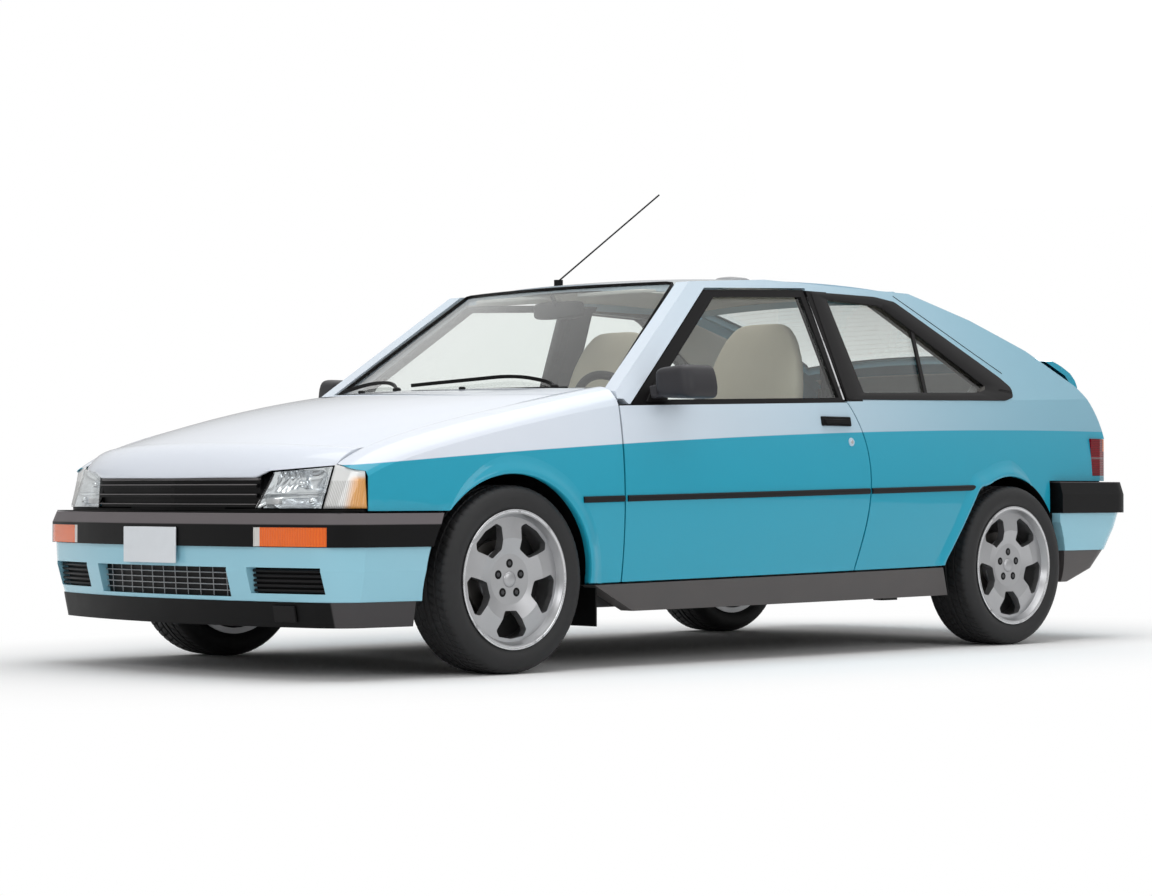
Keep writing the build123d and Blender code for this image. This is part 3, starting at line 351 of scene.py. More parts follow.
def both(*grids):
    """These grids and their mirror images."""
    return [*grids, *map(across_car, grids)]


def one_side(side, *grids):
    """These grids on the left, side 1, or their mirror images on the right, side -1."""
    return list(grids) if side > 0 else [across_car(grid) for grid in grids]


MERGE_GAP, TINY_EDGE = 2e-5, 1e-6


def piece(name, grids, body, finish, closed=False, thick=0.0, crease=35.0, replaces=()):
    """Joins grids (rows, columns, xyz in mm) into one mesh; cell corners run row, next row, next column."""
    points, faces, start = [], [], 0
    for grid in grids:
        rows, columns = grid.shape[:2]
        index = start + np.arange(rows * columns).reshape(rows, columns)
        corners = (index[:-1, :-1], index[1:, :-1], index[1:, 1:], index[:-1, 1:])
        faces.append(np.stack(corners, -1).reshape(-1, 4))
        points.append(grid.reshape(-1, 3))
        start += rows * columns
    points, faces = np.vstack(points) * MM, np.vstack(faces)
    mesh = bpy.data.meshes.new(name)
    mesh.vertices.add(len(points))
    mesh.vertices.foreach_set("co", points.astype(np.float32).ravel())
    mesh.loops.add(faces.size)
    mesh.loops.foreach_set("vertex_index", faces.astype(np.int32).ravel())
    mesh.polygons.add(len(faces))
    mesh.polygons.foreach_set("loop_start", np.arange(0, faces.size, 4, dtype=np.int32))
    mesh.update(calc_edges=True)
    shape = bmesh.new()
    shape.from_mesh(mesh)
    bmesh.ops.remove_doubles(shape, verts=shape.verts, dist=MERGE_GAP)
    bmesh.ops.dissolve_degenerate(shape, edges=shape.edges, dist=TINY_EDGE)
    if closed:
        bmesh.ops.recalc_face_normals(shape, faces=shape.faces)
    shape.to_mesh(mesh)
    shape.free()
    mesh.shade_smooth()
    mesh.set_sharp_from_angle(angle=math.radians(crease))
    mesh.materials.append(finish)
    made = bpy.data.objects.new(name, mesh)
    bpy.context.scene.collection.objects.link(made)
    if thick:
        wall = made.modifiers.new("wall", "SOLIDIFY")
        wall.thickness, wall.offset = thick * MM, -1.0
    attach(made, body)
    if replaces:
        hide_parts(*replaces)
    return made


def capped(grid):
    """Closes the first and the last row of a grid to a point."""
    ends = [np.broadcast_to(row.mean(0), row.shape)[None] for row in (grid[0], grid[-1])]
    return np.concatenate([ends[0], grid, ends[1]])


def carry(path, profile, up=(0, 0, 1)):
    """A closed profile of (side, up) points carried square to a path, its two ends closed to a point."""
    path, profile = np.asarray(path, float), np.asarray(profile, float)
    along = np.gradient(path, axis=0)
    along /= np.linalg.norm(along, axis=1, keepdims=True)
    side = np.cross(along, np.broadcast_to(np.asarray(up, float), path.shape))
    side /= np.linalg.norm(side, axis=1, keepdims=True)
    rise = np.cross(side, along)
    ring = np.vstack([profile, profile[:1]])
    body = path[:, None] + side[:, None] * ring[None, :, :1] + rise[:, None] * ring[None, :, 1:]
    return capped(body)


def circle(radius, count=12):
    """Points of a circle as (side, up) pairs."""
    turn = np.linspace(0, 2 * np.pi, count, endpoint=False)
    return np.stack([np.cos(turn), np.sin(turn)], 1) * radius


def pebble(centre, half, power=0.35, count=24):
    """A rounded block: a sphere of angles (u, v) with each sine and cosine raised to a power below one."""
    u = np.linspace(-np.pi / 2, np.pi / 2, count)[:, None]
    v = np.linspace(-np.pi, np.pi, 2 * count)[None]

    def bent(value):
        return np.sign(value) * np.abs(value) ** power

    grid = np.stack(np.broadcast_arrays(bent(np.cos(u)) * bent(np.cos(v)), bent(np.cos(u)) * bent(np.sin(v)),
                                        bent(np.sin(u))), -1)
    return np.asarray(centre, float) + grid * np.asarray(half, float)


def lathe(profile, x, y, z, count=96, side=1):
    """A profile of (radius, distance along y) turned round a wheel axis through (x, y, z)."""
    turn = np.linspace(0, 2 * np.pi, count + 1)[:, None]
    radius, reach = np.asarray(profile, float).T
    ring = (x + radius * np.cos(turn), y + side * reach, z + radius * np.sin(turn))
    return np.stack(np.broadcast_arrays(*ring), -1)


def rounded(corners, rounds=3, closed=True, reach=None):
    """Corner cutting: each round replaces a corner by points a quarter in from it along both its edges.
    With a reach, the corners first get neighbours that far away, so that long edges stay straight."""
    line = np.asarray(corners, float)
    if reach:
        back, ahead = np.roll(line, 1, 0) - line, np.roll(line, -1, 0) - line
        near = [line + side / np.linalg.norm(side, axis=1, keepdims=True) * reach for side in (back, ahead)]
        line = np.stack([near[0], line, near[1]], 1).reshape(-1, line.shape[1])
    for _ in range(rounds):
        after = np.roll(line, -1, 0)
        cut = np.stack([0.75 * line + 0.25 * after, 0.25 * line + 0.75 * after], 1).reshape(-1, line.shape[1])
        line = cut if closed else np.vstack([line[:1], cut[1:-3], line[-1:]])
    return line


print("grid tools ready")

# %% [markdown]
# The flank of the body is one gently barrelled surface. Its width falls off with the square of the
# distance along the car and of the height above or below the waist, and the side windows lean in above the
# belt. These are the same three formulas that the panels were drawn with, so trim laid on them fits the
# sheet metal.

# %% Flank of the body
HALF_WIDTH, WIDEST_X, PLAN_ROUND = 830.0, 100.0, 45000.0
WAIST, UPPER_ROUND, LOWER_ROUND, LEAN = 560.0, 1463.0, 2074.0, 0.438
BELT, BELT_FALL = 875.0, 0.030


def belt_z(x):
    """Height of the belt line under the side windows."""
    return BELT - BELT_FALL * x


def flank_y(x, z):
    """Half width of the lower body: 830 - (x - 100)^2 / 45000, less the barrel of the section."""
    barrel = np.where(z > WAIST, UPPER_ROUND, LOWER_ROUND)
    return HALF_WIDTH - (x - WIDEST_X) ** 2 / PLAN_ROUND - (z - WAIST) ** 2 / (2 * barrel)


def window_y(x, z):
    """Half width of the leaning side window plane."""
    return flank_y(x, belt_z(x)) - LEAN * (z - belt_z(x))


print("half width at the doors", round(float(flank_y(0.0, WAIST))), "mm")

# %% [markdown]
# A pressed flare runs round each wheel opening. It is widest at the lip, where the metal turns in, and
# fades into the flank over a hand's breadth. In polar form the opening is a radius for each angle about
# the axle: a plain circle in front, and behind it the larger of a circle and a straight leading edge.

# %% Wheel arch flares
AXLES = {"front": 1277.0, "rear": -1259.0}
AXLE_Z, ARCH = 296.0, 331.0
FLARE = np.array([(1.5, -20.0), (-1.5, -3.0), (-1.5, 5.0), (1.0, 9.5), (6.0, 11.5), (13.0, 11.0), (22.0, 8.2),
                  (32.0, 4.6), (42.0, 1.9), (52.0, 0.5), (60.0, -0.6)])
EDGE_SQUARE, EDGE_SPOT, OPENING_TOP = np.array([293.0, 215.0]), (411.0, 1.0), 295.0


def flare(axle_x, low, high, leading):
    """Rows run round the opening, columns across the lip table of (distance out, height over the flank).
    The lip narrows over the first 45 degrees in front and over the last 24 behind. A leading edge is the
    straight line square to EDGE_SQUARE through EDGE_SPOT, capped at the opening's top."""
    turn = np.radians(np.linspace(low, high, 90))[:, None]
    edge = np.full_like(turn, ARCH)
    if leading:
        normal = EDGE_SQUARE / math.hypot(*EDGE_SQUARE)
        run = normal @ EDGE_SPOT
        line = run / np.maximum(np.cos(turn) * normal[0] + np.sin(turn) * normal[1], 0.5)
        edge = np.maximum(edge, np.minimum(line, OPENING_TOP / np.maximum(np.sin(turn), 0.1)))
        padded = np.pad(edge[:, 0], 3, mode="edge")
        edge = np.convolve(padded, np.ones(7) / 7, "valid")[:, None]
    out, proud = FLARE.T
    fade = (turn[-1] - turn) / np.radians(24.0) if leading else (turn - turn[0]) / np.radians(45.0)
    grow = np.clip(fade, 0.04, 1.0) ** 0.8
    out, proud = out * grow, np.where(proud > 0, proud * grow, proud)
    x = axle_x + (edge + out) * np.cos(turn)
    z = AXLE_Z + (edge + out) * np.sin(turn)
    return np.stack([x, flank_y(x, z) + proud, z], -1)


flares = [flare(AXLES["front"], 41.0, 183.0, False), flare(AXLES["rear"], 1.0, 117.0, True)]
piece("arch_flares", both(*flares), "car_body", body_paint)
print("flares on four arches")

# %% [markdown]
# A tyre is a turned section with a moulded tread. The section is a closed curve of radius against width;
# the tread is the same surface lowered wherever a groove runs: four grooves round the tyre and slanted
# sipes cut between them. One table gives the section, and a mask on the grid of angle and width gives the
# blocks.

# %% Tyres
WHEEL_Y, TREAD_DEPTH = 713.0, 6.0
TYRE_SECTION = np.array([(206, 78), (214, 88), (221, 90), (226, 93.5), (236, 99), (250, 102.3), (262, 101.5),
                         (272, 98.5), (281, 94.0), (288, 87.5), (292.5, 79)])
CROWN_EDGE, CROWN_HALF, CROWN_RISE = 293.5, 76, 2.4
GROOVE_PLACES, GROOVE_HALF, BLOCKS = np.array([12.0, 46.0]), 3.2, 64
SIPE_SHARE, SIPE_FROM, SIPE_TO, TREAD_EDGE, SHOULDER, WALL_FROM = 0.17, 14, 91, 93, 79, 80
WALL_RINGS = ((243.0, 1.6), (268.0, 1.4))


def tyre(x, side):
    """Rows are angles, columns the section from outer bead over the tread to the inner bead."""
    shoulder = np.column_stack([np.full(65, CROWN_EDGE), np.linspace(CROWN_HALF, -CROWN_HALF, 65)])
    shoulder[:, 0] += CROWN_RISE * (1 - (shoulder[:, 1] / CROWN_HALF) ** 2)
    section = np.vstack([TYRE_SECTION, shoulder, (TYRE_SECTION * (1, -1))[::-1]])
    turn = np.linspace(0, 2 * np.pi, 385)[:, None]
    radius, reach = section[:, 0][None], section[:, 1][None]
    rounds = np.min(np.abs(np.abs(reach)[..., None] - GROOVE_PLACES), -1) < GROOVE_HALF
    phase = (turn / (2 * np.pi) * BLOCKS + np.abs(reach) / 60.0) % 1.0
    sipes = (phase < SIPE_SHARE) & (np.abs(reach) > SIPE_FROM) & (np.abs(reach) < SIPE_TO)
    tread = np.abs(reach) < TREAD_EDGE
    depth = np.where(tread & rounds, TREAD_DEPTH, np.where(tread & sipes, 0.55 * TREAD_DEPTH, 0.0))
    depth = np.where(np.abs(reach) > SHOULDER, 0.4 * depth, depth)
    rings = sum(0.8 * np.exp(-((radius - middle) / wide) ** 2) for middle, wide in WALL_RINGS)
    bulge = reach + np.sign(reach) * np.where(np.abs(reach) > WALL_FROM, rings, 0.0)
    radius = radius - depth
    return np.stack(np.broadcast_arrays(x + radius * np.cos(turn), side * (WHEEL_Y + bulge),
                                        AXLE_Z + radius * np.sin(turn)), -1)


for end, x in AXLES.items():
    for name, side in SIDES:
        piece(f"tyre_moulded_{end}_{name}", [tyre(x, side)], f"wheel_{end}_{name}", rubber, True,
              crease=50.0, replaces=[f"tyre_{end}_{name}"])
print("four tyres")

# %% [markdown]
# The rims keep their CAD castings. What a casting lacks is added here: a turned and polished outer lip,
# the hub cap, five wheel bolts, each on a thin black disc that is painted shade standing for its well, and
# the brake disc with its back plate that show between the spokes.

# %% Wheel furniture
POLISHED_LIP = np.array([(219.5, 92), (219.5, 95.2), (216, 96.2), (211, 95.4), (206.5, 91), (203, 83),
                         (199.5, 74), (197.0, 71.5), (195.6, 70.5)])
DISC = np.array([(70, 20), (122, 20), (124, 18), (124, 2), (122, 0), (70, 0), (70, 20)])
BACK_PLATE = np.array([(118, -8), (193, -8), (193, -11), (118, -11), (118, -8)])
CAP = np.array([(0.01, 74.5), (12, 74.0), (20, 72.5), (24, 70), (26, 66.5), (26, 64)])
BOLT_HEAD = np.array([(0.01, 2.0), (6.5, 2.0), (7.5, 1.0), (7.5, -9.0)])
# Each bolt's well is a thin black disc round the bolt head: painted shade of the recess.
BOLT_WELL_SHADE = np.array([(0.01, 0.6), (13.5, 0.6), (14.5, -0.2), (14.5, -3.0)])
BOLT_CIRCLE, BETWEEN_BOLTS = 50, math.radians(126)


def turned_lip(wire):
    """Machined aluminium with fine marks and a few dull scuffs."""
    scuff = wire.noise(40.0, 5.0)
    marks = wire.noise(900.0, 1.0)
    return {"Base Color": scuff.step(0.52, 0.75).blend(tone(205, 206, 208), tone(150, 150, 152)),
            "Roughness": scuff * 0.25 + 0.12, "Normal": wire.bump(marks, 0.12, 0.0003)}


def hub_face(node, x, side):
    """How far outside the wheel's middle plane the casting lies between two bolts, 50 mm from the axle."""
    spot_x = x + BOLT_CIRCLE * math.cos(BETWEEN_BOLTS)
    spot_z = AXLE_Z + BOLT_CIRCLE * math.sin(BETWEEN_BOLTS)
    start = (spot_x * MM, side * 2.0, spot_z * MM)
    place = frame["nodes"][node].ray_cast(start, (0.0, -float(side), 0.0))[1]
    return abs(place[1]) / MM - WHEEL_Y


lip_finish = finish_of("turned_lip", turned_lip, metallic=0.95)
disc_finish = finish_of("brake_disc_iron", grained(tone(72, 70, 68), tone(104, 101, 98), 0.35, 0.0004),
                        metallic=0.8)
bolt_finish = finish_of("bolt_steel", grained(tone(60, 60, 62), tone(96, 96, 98), 0.3, 0.0003), metallic=0.9)
for end, x in AXLES.items():
    for name, side in SIDES:
        body = f"wheel_{end}_{name}"
        hub = (x, side * WHEEL_Y, AXLE_Z)
        lip = [lathe(POLISHED_LIP, *hub, 128, side)]
        piece(f"rim_lip_{end}_{name}", lip, body, lip_finish, True, crease=50.0)
        piece(f"hub_cap_{end}_{name}", [lathe(CAP, *hub, 48, side)], body, alloy, True)
        disc = [lathe(DISC, x, side * (WHEEL_Y - 12), AXLE_Z, 72, side)]
        piece(f"brake_disc_{end}_{name}", disc, body, disc_finish, True)
        plate = [lathe(BACK_PLATE, *hub, 72, side)]
        piece(f"back_plate_{end}_{name}", plate, body, underseal, True)
        face = hub_face(f"rim_{end}_{name}", x, side)
        bolts, well_shades = [], []
        for turn in np.radians(72 * np.arange(5) + 90):
            spot = (x + BOLT_CIRCLE * math.cos(turn), side * WHEEL_Y, AXLE_Z + BOLT_CIRCLE * math.sin(turn))
            bolts.append(lathe(BOLT_HEAD + (0, face), *spot, 6, side))
            well_shades.append(lathe(BOLT_WELL_SHADE + (0, face), *spot, 24, side))
        piece(f"wheel_bolts_{end}_{name}", bolts, body, bolt_finish, True)
        # Black discs round the bolts: painted shade of their wells.
        piece(f"bolt_well_shades_{end}_{name}", well_shades, body, black_plastic, True)
print("lips, caps, bolts and discs on four wheels")

# %% [markdown]
# Thin black strips finish the flank: a rub strip at bumper height from wheel to wheel, cut at the door
# gaps. It is a half-round profile carried along the flank.

# %% Rub strips
RUB_LINE, RUB_FALL = 564.0, 0.020
STRIP_RUNS = {"body": ((985, 808), (-422, -1078)), "door": ((793, -407),)}


def strip_path(x_front, x_rear, count=40):
    """The rub line z = 564 - 0.020 x on the flank, from front to rear."""
    x = np.linspace(x_front, x_rear, count)
    z = RUB_LINE - RUB_FALL * x
    return np.stack([x, flank_y(x, z), z], 1)


HALF_ROUND = np.array([(-1.0, -10.0), (3.5, -10.0), (6.5, -6.5), (7.5, 0.0), (6.5, 6.5), (3.5, 10.0),
                       (-1.0, 10.0)])
trim_black = finish_of("trim_black", grained(tone(20, 19, 20), tone(28, 27, 28), 0.34, 0.0002),
                       specular_ior_level=0.16)
for label, runs in STRIP_RUNS.items():
    strips = [carry(strip_path(*run), HALF_ROUND) for run in runs]
    for name, side in SIDES:
        body = f"door_{name}" if label == "door" else "car_body"
        piece(f"rub_strip_{label}_{name}", one_side(side, *strips), body, trim_black, True)
print("rub strips on both flanks")

# %% [markdown]
# The side windows are framed in black. The door frame itself is painted black above the belt, which only
# needs a mask in its paint. The rear quarter window has a broad black surround with rounded corners: a
# ring between an outer and an inner outline, both rounded by corner cutting, laid just over the leaning
# window plane.

# %% Window surrounds
FRAME_BLACK = tone(22, 21, 22)
ARCH_EDGE = (0.1112, 0.1103)


def door_paint_recipe(wire):
    """Two-tone paint, and satin black above the belt line z = 0.873 - 0.030 x."""
    x, y, z = wire.axes()
    links = two_tone(wire)
    frame_part = (z + x * 0.030 - 0.873).step(-0.0005, 0.0005)
    links["Base Color"] = frame_part.blend(links["Base Color"], FRAME_BLACK)
    links["Coat Weight"] = 1 - frame_part
    return links


def wing_paint_recipe(wire):
    """Two-tone paint, and black on the turned-in edge of the wheel opening, within 333 mm of an axle.
    The mask compares the squared distance from the axle, in square metres."""
    x, y, z = wire.axes()
    links = two_tone(wire)
    rise = (z - AXLE_Z * MM) * (z - AXLE_Z * MM)
    edges = [((x - axle * MM) * (x - axle * MM) + rise).step(*ARCH_EDGE) for axle in AXLES.values()]
    inside = edges[0] + edges[1]
    links["Base Color"] = inside.blend(links["Base Color"], tone(14, 14, 15))
    links["Coat Weight"] = 1 - inside
    return links


def side_paint_recipe(wire):
    """Wing paint, satin black on the pillar between door and quarter window, and dark lining inside the
    outline of that window's surround."""
    x, y, z = wire.axes()
    links = wing_paint_recipe(wire)
    across = x.step(-0.420, -0.419) * x.step(-0.262, -0.268)
    pillar = across * (z + x * 0.030).step(0.876, 0.877) * z.step(1.284, 1.283)
    reveal = x.step(-0.419, -0.420) * (z + x * 0.030).step(0.893, 0.894) * z.step(1.268, 1.267)
    reveal = reveal * x.step(-1.291, -1.290) * (z - x * 0.5296).step(1.6902, 1.6892)
    links["Base Color"] = pillar.blend(links["Base Color"], FRAME_BLACK)
    links["Base Color"] = reveal.blend(links["Base Color"], tone(80, 78, 75))
    links["Coat Weight"] = links["Coat Weight"] * (1 - pillar) * (1 - reveal)
    return links


door_paint = finish_of("door_paint_black_frame", door_paint_recipe, **GLOSS)
side_paint = finish_of("side_paint_black_pillar", side_paint_recipe, **GLOSS)
wing_paint = finish_of("wing_paint_black_edge", wing_paint_recipe, **GLOSS)
for name, side in SIDES:
    repaint(f"door_{name}", door_paint)
    repaint(f"bodyside_{name}", side_paint)
    repaint(f"wing_{name}", wing_paint)

SURROUND_OUT = ((-334, 893), (-331, 1281), (-690, 1280), (-800, 1266), (-1306, 998), (-1358, 962),
                (-1350, 926), (-1290, 911))
SURROUND_IN = ((-441, 921), (-410, 1256), (-690, 1247), (-724, 1234), (-1142, 990), (-1184, 966),
               (-1176, 951), (-1122, 938))
SURROUND_SECTION = ((0.0, -2.0), (0.0, 1.8), (0.06, 3.0), (0.5, 3.0), (0.94, 1.0), (1.0, -1.0), (1.0, -13.0))


def on_window(x, z, height):
    """Lays a drawing of (x, z) on the leaning plane of the left side window."""
    return np.stack([x, window_y(x, z) + height, z], 1)


def surround(outline, inline):
    """Columns run round the ring, rows from its outer foot over a low crown to its foot in the glass."""
    out, inn = rounded(outline, reach=30.0), rounded(inline, reach=16.0)
    rows = []
    for share, proud in SURROUND_SECTION:
        line = out + (inn - out) * share
        rows.append(on_window(*np.vstack([line, line[:1]]).T, proud))
    return np.stack(rows)


ring = surround(SURROUND_OUT, SURROUND_IN)
piece("quarter_surround", both(ring), "car_body", trim_black)
bar_path = on_window(np.linspace(-862, -806, 12), np.linspace(1190, 921, 12), -10.0)
divider = carry(bar_path, np.array([(-8, -2), (-8, 6), (8, 6), (8, -2)]), (0, 1, 0.4))
piece("quarter_divider", both(divider), "car_body", trim_black, True)
SAIL = np.array([(672, 864), (577, 868), (534, 973), (598, 940)], float)
sail_line = rounded(SAIL, reach=8.0)
sail_rows = np.stack([on_window(*np.vstack([line, line[:1]]).T, height) for line, height in (
    (sail_line, -24.0), (sail_line, 1.5), (np.broadcast_to(sail_line.mean(0), sail_line.shape), 2.5))])
for name, side in SIDES:
    piece(f"mirror_sail_{name}", one_side(side, sail_rows), f"door_{name}", trim_black)
seam_x = np.linspace(-805, -1330, 24)
seam_z = np.interp(-seam_x, (805, 1180, 1330), (1288, 1092, 1016))
seam = carry(on_window(seam_x, seam_z, 0.2), circle(1.5, 8))
piece("pillar_seams", both(seam), "car_body", trim_black, True)
bright = finish_of("bright_strip", turned_lip, metallic=0.95)
strip_z = np.linspace(892, 1262, 16)
strip_line = on_window(-318.0 + (strip_z - 892) * 0.02, strip_z, -5.0)
strip = carry(strip_line, np.array([(-4, -1), (-4, 2.5), (4, 2.5), (4, -1)]), (0, 1, 0.4))
for name, side in SIDES:
    piece(f"pillar_strip_{name}", one_side(side, strip), f"door_{name}", bright, True)
print("window surrounds ready")

# %% [markdown]
# Headlamps are clear lenses over bright fluted bowls. The lens is a ruled sheet between the four corners
# of the lamp opening with a slight swell; the bowl is the same sheet pushed back by a rounded depth, with
# flutes added as a wave across its width. Two small round units and a frosted marker lens sit inside.

# %% Headlamps
LAMP_LOW = np.array([(1993, 414, 520), (1930, 649, 520)], float)
LAMP_HIGH = np.array([(1957, 458, 629), (1885, 649, 645)], float)
SWELL_WAY, BACK_WAY = np.array([0.9, 0.3, 0.2]), np.array([0.95, 0.3, 0.0])


def lamp_face(u, v):
    """Ruled sheet: u runs from the grille outwards, v from foot to top, swollen by 7 sin(pi u) sin(pi v)."""
    u, v = u[..., None], v[..., None]
    low = LAMP_LOW[0] + (LAMP_LOW[1] - LAMP_LOW[0]) * u
    high = LAMP_HIGH[0] + (LAMP_HIGH[1] - LAMP_HIGH[0]) * u
    swell = 7 * np.sin(np.pi * u) * np.sin(np.pi * v)
    return low + (high - low) * v + swell * SWELL_WAY


def lamp_bowl(count=72):
    """The lamp sheet moved back by up to 55 mm away from its edges, with flutes in its inner upper part."""
    u, v = np.meshgrid(np.linspace(0, 1, count), np.linspace(0, 1, 40))
    deep = (1 - np.abs(2 * u - 1) ** 3.2) * (1 - np.abs(2 * v - 1) ** 3.2)
    inner = 1 / (1 + np.exp((u - 0.45) * 30)) / (1 + np.exp((0.5 - v) * 30))
    flutes = np.abs(np.sin(11 * np.pi * u)) * inner
    step = 9 * (1 / (1 + np.exp(-(v - 0.33) * 60)))
    back = 5 + 50 * deep + (5 * flutes - step) * np.minimum(deep * 4, 1)
    return lamp_face(u, v) - back[..., None] * BACK_WAY


def chrome(wire):
    """Vacuum-plated reflector: bright, with a faint cloud of haze."""
    haze = wire.noise(30.0, 3.0)
    return {"Base Color": haze.blend(tone(214, 217, 220), tone(240, 242, 244)),
            "Roughness": haze * 0.12 + 0.10}


reflector = finish_of("lamp_reflector", chrome, metallic=1.0)
grid_u, grid_v = np.meshgrid(np.linspace(0, 1, 30), np.linspace(0, 1, 18))
lens_sheet, bowl = lamp_face(grid_u, grid_v)[::-1], lamp_bowl()[::-1]
piece("headlamp_lens", both(lens_sheet), "car_body", lamp_glass, thick=2.5,
      replaces=["front_lamps"])
piece("headlamp_bowl", both(bowl), "car_body", reflector)


def in_lamp(u, v, back):
    """A point inside the lamp, back millimetres behind its lens."""
    return lamp_face(np.array(u), np.array(v)) - back * BACK_WAY


main_unit = pebble(in_lamp(0.52, 0.62, 34), (16, 13, 13), 0.9, 14)
side_unit = pebble(in_lamp(0.80, 0.18, 20), (12, 11, 11), 0.9, 14)
piece("headlamp_units", both(main_unit, side_unit), "car_body", reflector, True)
marker = pebble(in_lamp(0.22, 0.17, 12), (8, 34, 9), 0.3, 12)
frosted = finish_of("frosted_lens", ribbed(tone(196, 197, 198), tone(236, 238, 240), 0.006, 1),
                    coat_weight=0.6)
piece("headlamp_markers", both(marker), "car_body", frosted, True)
print("headlamps ready")

# %% [markdown]
# The corner lamps wrap from the headlamp onto the flank: a sheet between a plan curve at the foot and one
# at the top, cut by the slanting edge of the wing. Ribs show as a wave in the bump, and amber tints the
# outer end.

# %% Corner lamps
FOOT_PLAN = ((1838, 758.5), (1858, 751.5), (1897, 715.5), (1925, 657))
TOP_PLAN = ((1838, 746), (1848, 737), (1863, 703), (1875.5, 657))
CORNER_FOOT, PLAN_FOOT, PLAN_TOP = 520, 519, 660


def corner_lamp(count=40):
    """Columns run along the plan, rows from foot to the top edge z = 629 + 0.2376 (757 - y)."""
    share = np.linspace(0, 1, count)
    foot, top = (rounded(plan, 3, closed=False) for plan in (FOOT_PLAN, TOP_PLAN))
    foot, top = (np.stack([np.interp(share, np.linspace(0, 1, len(line)), line[:, i]) for i in (0, 1)], 1)
                 for line in (foot, top))
    high = 629.0 + 0.2376 * (757 - top[:, 1])
    rise = np.linspace(0, 1, 14)[:, None]
    z = CORNER_FOOT + (high - CORNER_FOOT) * rise
    lean = ((z - PLAN_FOOT) / (PLAN_TOP - PLAN_FOOT))[..., None]
    plan = foot[None] * (1 - lean) + top[None] * lean
    return np.dstack([plan, z])


def corner_recipe(wire):
    """Clear lens, ribbed below z = 0.603, whose outer end is amber."""
    x, y, z = wire.axes()
    wave = wire.sum("SINE", y * 1250.0) * 0.5 + 0.5
    wave = wave * z.step(0.606, 0.600)
    outer = wire.sum("ABSOLUTE", y).step(0.708, 0.736) * z.step(0.622, 0.604)
    clear = (wave * 0.7).blend(tone(226, 227, 226), tone(150, 149, 144))
    return {"Base Color": (outer * 0.9).blend(clear, tone(222, 150, 40)), "Roughness": wave * 0.15 + 0.12,
            "Normal": wire.bump(wave, 0.5, 0.0015)}


corner_finish = finish_of("corner_lens", corner_recipe, coat_weight=1.0, coat_roughness=0.02)
piece("corner_lamps", both(corner_lamp()), "car_body", corner_finish, thick=8.0)
print("corner lamps ready")

# %% [markdown]
# Many small parts are thin tablets with a rounded outline: number plates, handles, lock covers, mirror
# glass. One helper builds them from an outline, two heights and a function that lays the flat drawing onto
# a surface.

# %% Tablets
NOSE_X, LOCK = 2085.0, (-322, 744)


def rounded_box(a0, a1, b0, b1, corner):
    """A rectangle whose corners are cut back by this length and rounded."""
    near = [(a0, b0 + corner), (a0, b0), (a0 + corner, b0), (a1 - corner, b0), (a1, b0), (a1, b0 + corner)]
    far = [(a1, b1 - corner), (a1, b1), (a1 - corner, b1), (a0 + corner, b1), (a0, b1), (a0, b1 - corner)]
    return rounded(near + far, 2)


def tablet(outline, place, low, high, soft=1.5):
    """Rows run from the middle of the back over the edge to the middle of the front, whose edge is soft."""
    middle = outline.mean(0)
    inner = outline + (middle - outline) / np.linalg.norm(middle - outline, axis=1, keepdims=True) * soft
    rows = [(np.broadcast_to(middle, outline.shape), low), (outline, low), (outline, high - soft),
            (inner, high), (np.broadcast_to(middle, outline.shape), high)]
    return np.stack([place(*np.vstack([line, line[:1]]).T, height) for line, height in rows])


def on_nose(y, z, height):
    """Lays a drawing of (y, z) square to the front of the car, height millimetres ahead of x = 2085."""
    return np.stack([np.full_like(y, NOSE_X + height), y, z], 1)


def on_flank(x, z, height):
    """Lays a drawing of (x, z) on the left flank."""
    return np.stack([x, flank_y(x, z) + height, z], 1)


def plate_recipe(wire):
    """White enamel sheet, faintly clouded by dirt."""
    dirt = wire.noise(25.0, 5.0)
    return {"Base Color": (dirt * 0.25).blend(tone(222, 227, 232), tone(190, 194, 198)),
            "Roughness": dirt * 0.2 + 0.25}


plate_finish = finish_of("plate_enamel", plate_recipe, coat_weight=0.5)
front_plate = tablet(rounded_box(-137, 137, 349, 461, 8), on_nose, 0.6, 4.2)
piece("front_plate", [front_plate], "car_body", plate_finish, True)
handle = tablet(rounded_box(-327, -171, 799, 832, 9), on_flank, -2.0, 9.0, 4.0)
pull = tablet(rounded_box(-318, -180, 806, 822, 6), on_flank, 8.0, 15.0, 4.0)
lock_ring = tablet(circle(15, 28) + LOCK, on_flank, -1.0, 4.0, 2.0)
lock_core = tablet(circle(7, 28) + LOCK, on_flank, 3.0, 6.0, 1.0)
for name, side in SIDES:
    for label, grids, finish, slot in (("handle", [handle, pull], black_plastic, "black_plastic"),
                                       ("lock_ring", [lock_ring], upper_paint, "upper_paint"),
                                       ("lock_core", [lock_core], bright, "alloy")):
        piece(f"door_{label}_{name}", one_side(side, *grids), f"door_{name}", finish, True)
print("plate, handles and locks ready")

# %% [markdown]
# The bumper is a black band whose top edge is painted grey, a painted highlight where light falls on it,
# and below it a painted skin with three openings. The middle one has a mesh of thin crossing bars, the
# outer two have slats. Bars are round profiles carried along the curve of the bumper.

# %% Bumper meshes and grille trim
BOW = 2413.0


def bow_x(y):
    """Front of the bumper in plan: a circle of radius 2413 that touches x = 2085 on the centreline."""
    return NOSE_X - (BOW - np.sqrt(BOW ** 2 - y ** 2))


def level_bar(y0, y1, z, inset, radius, count=24):
    """A round bar along the bumper's bow at one height."""
    y = np.linspace(y0, y1, count)
    return carry(np.stack([bow_x(y) - inset, y, np.full(count, z)], 1), circle(radius, 8))


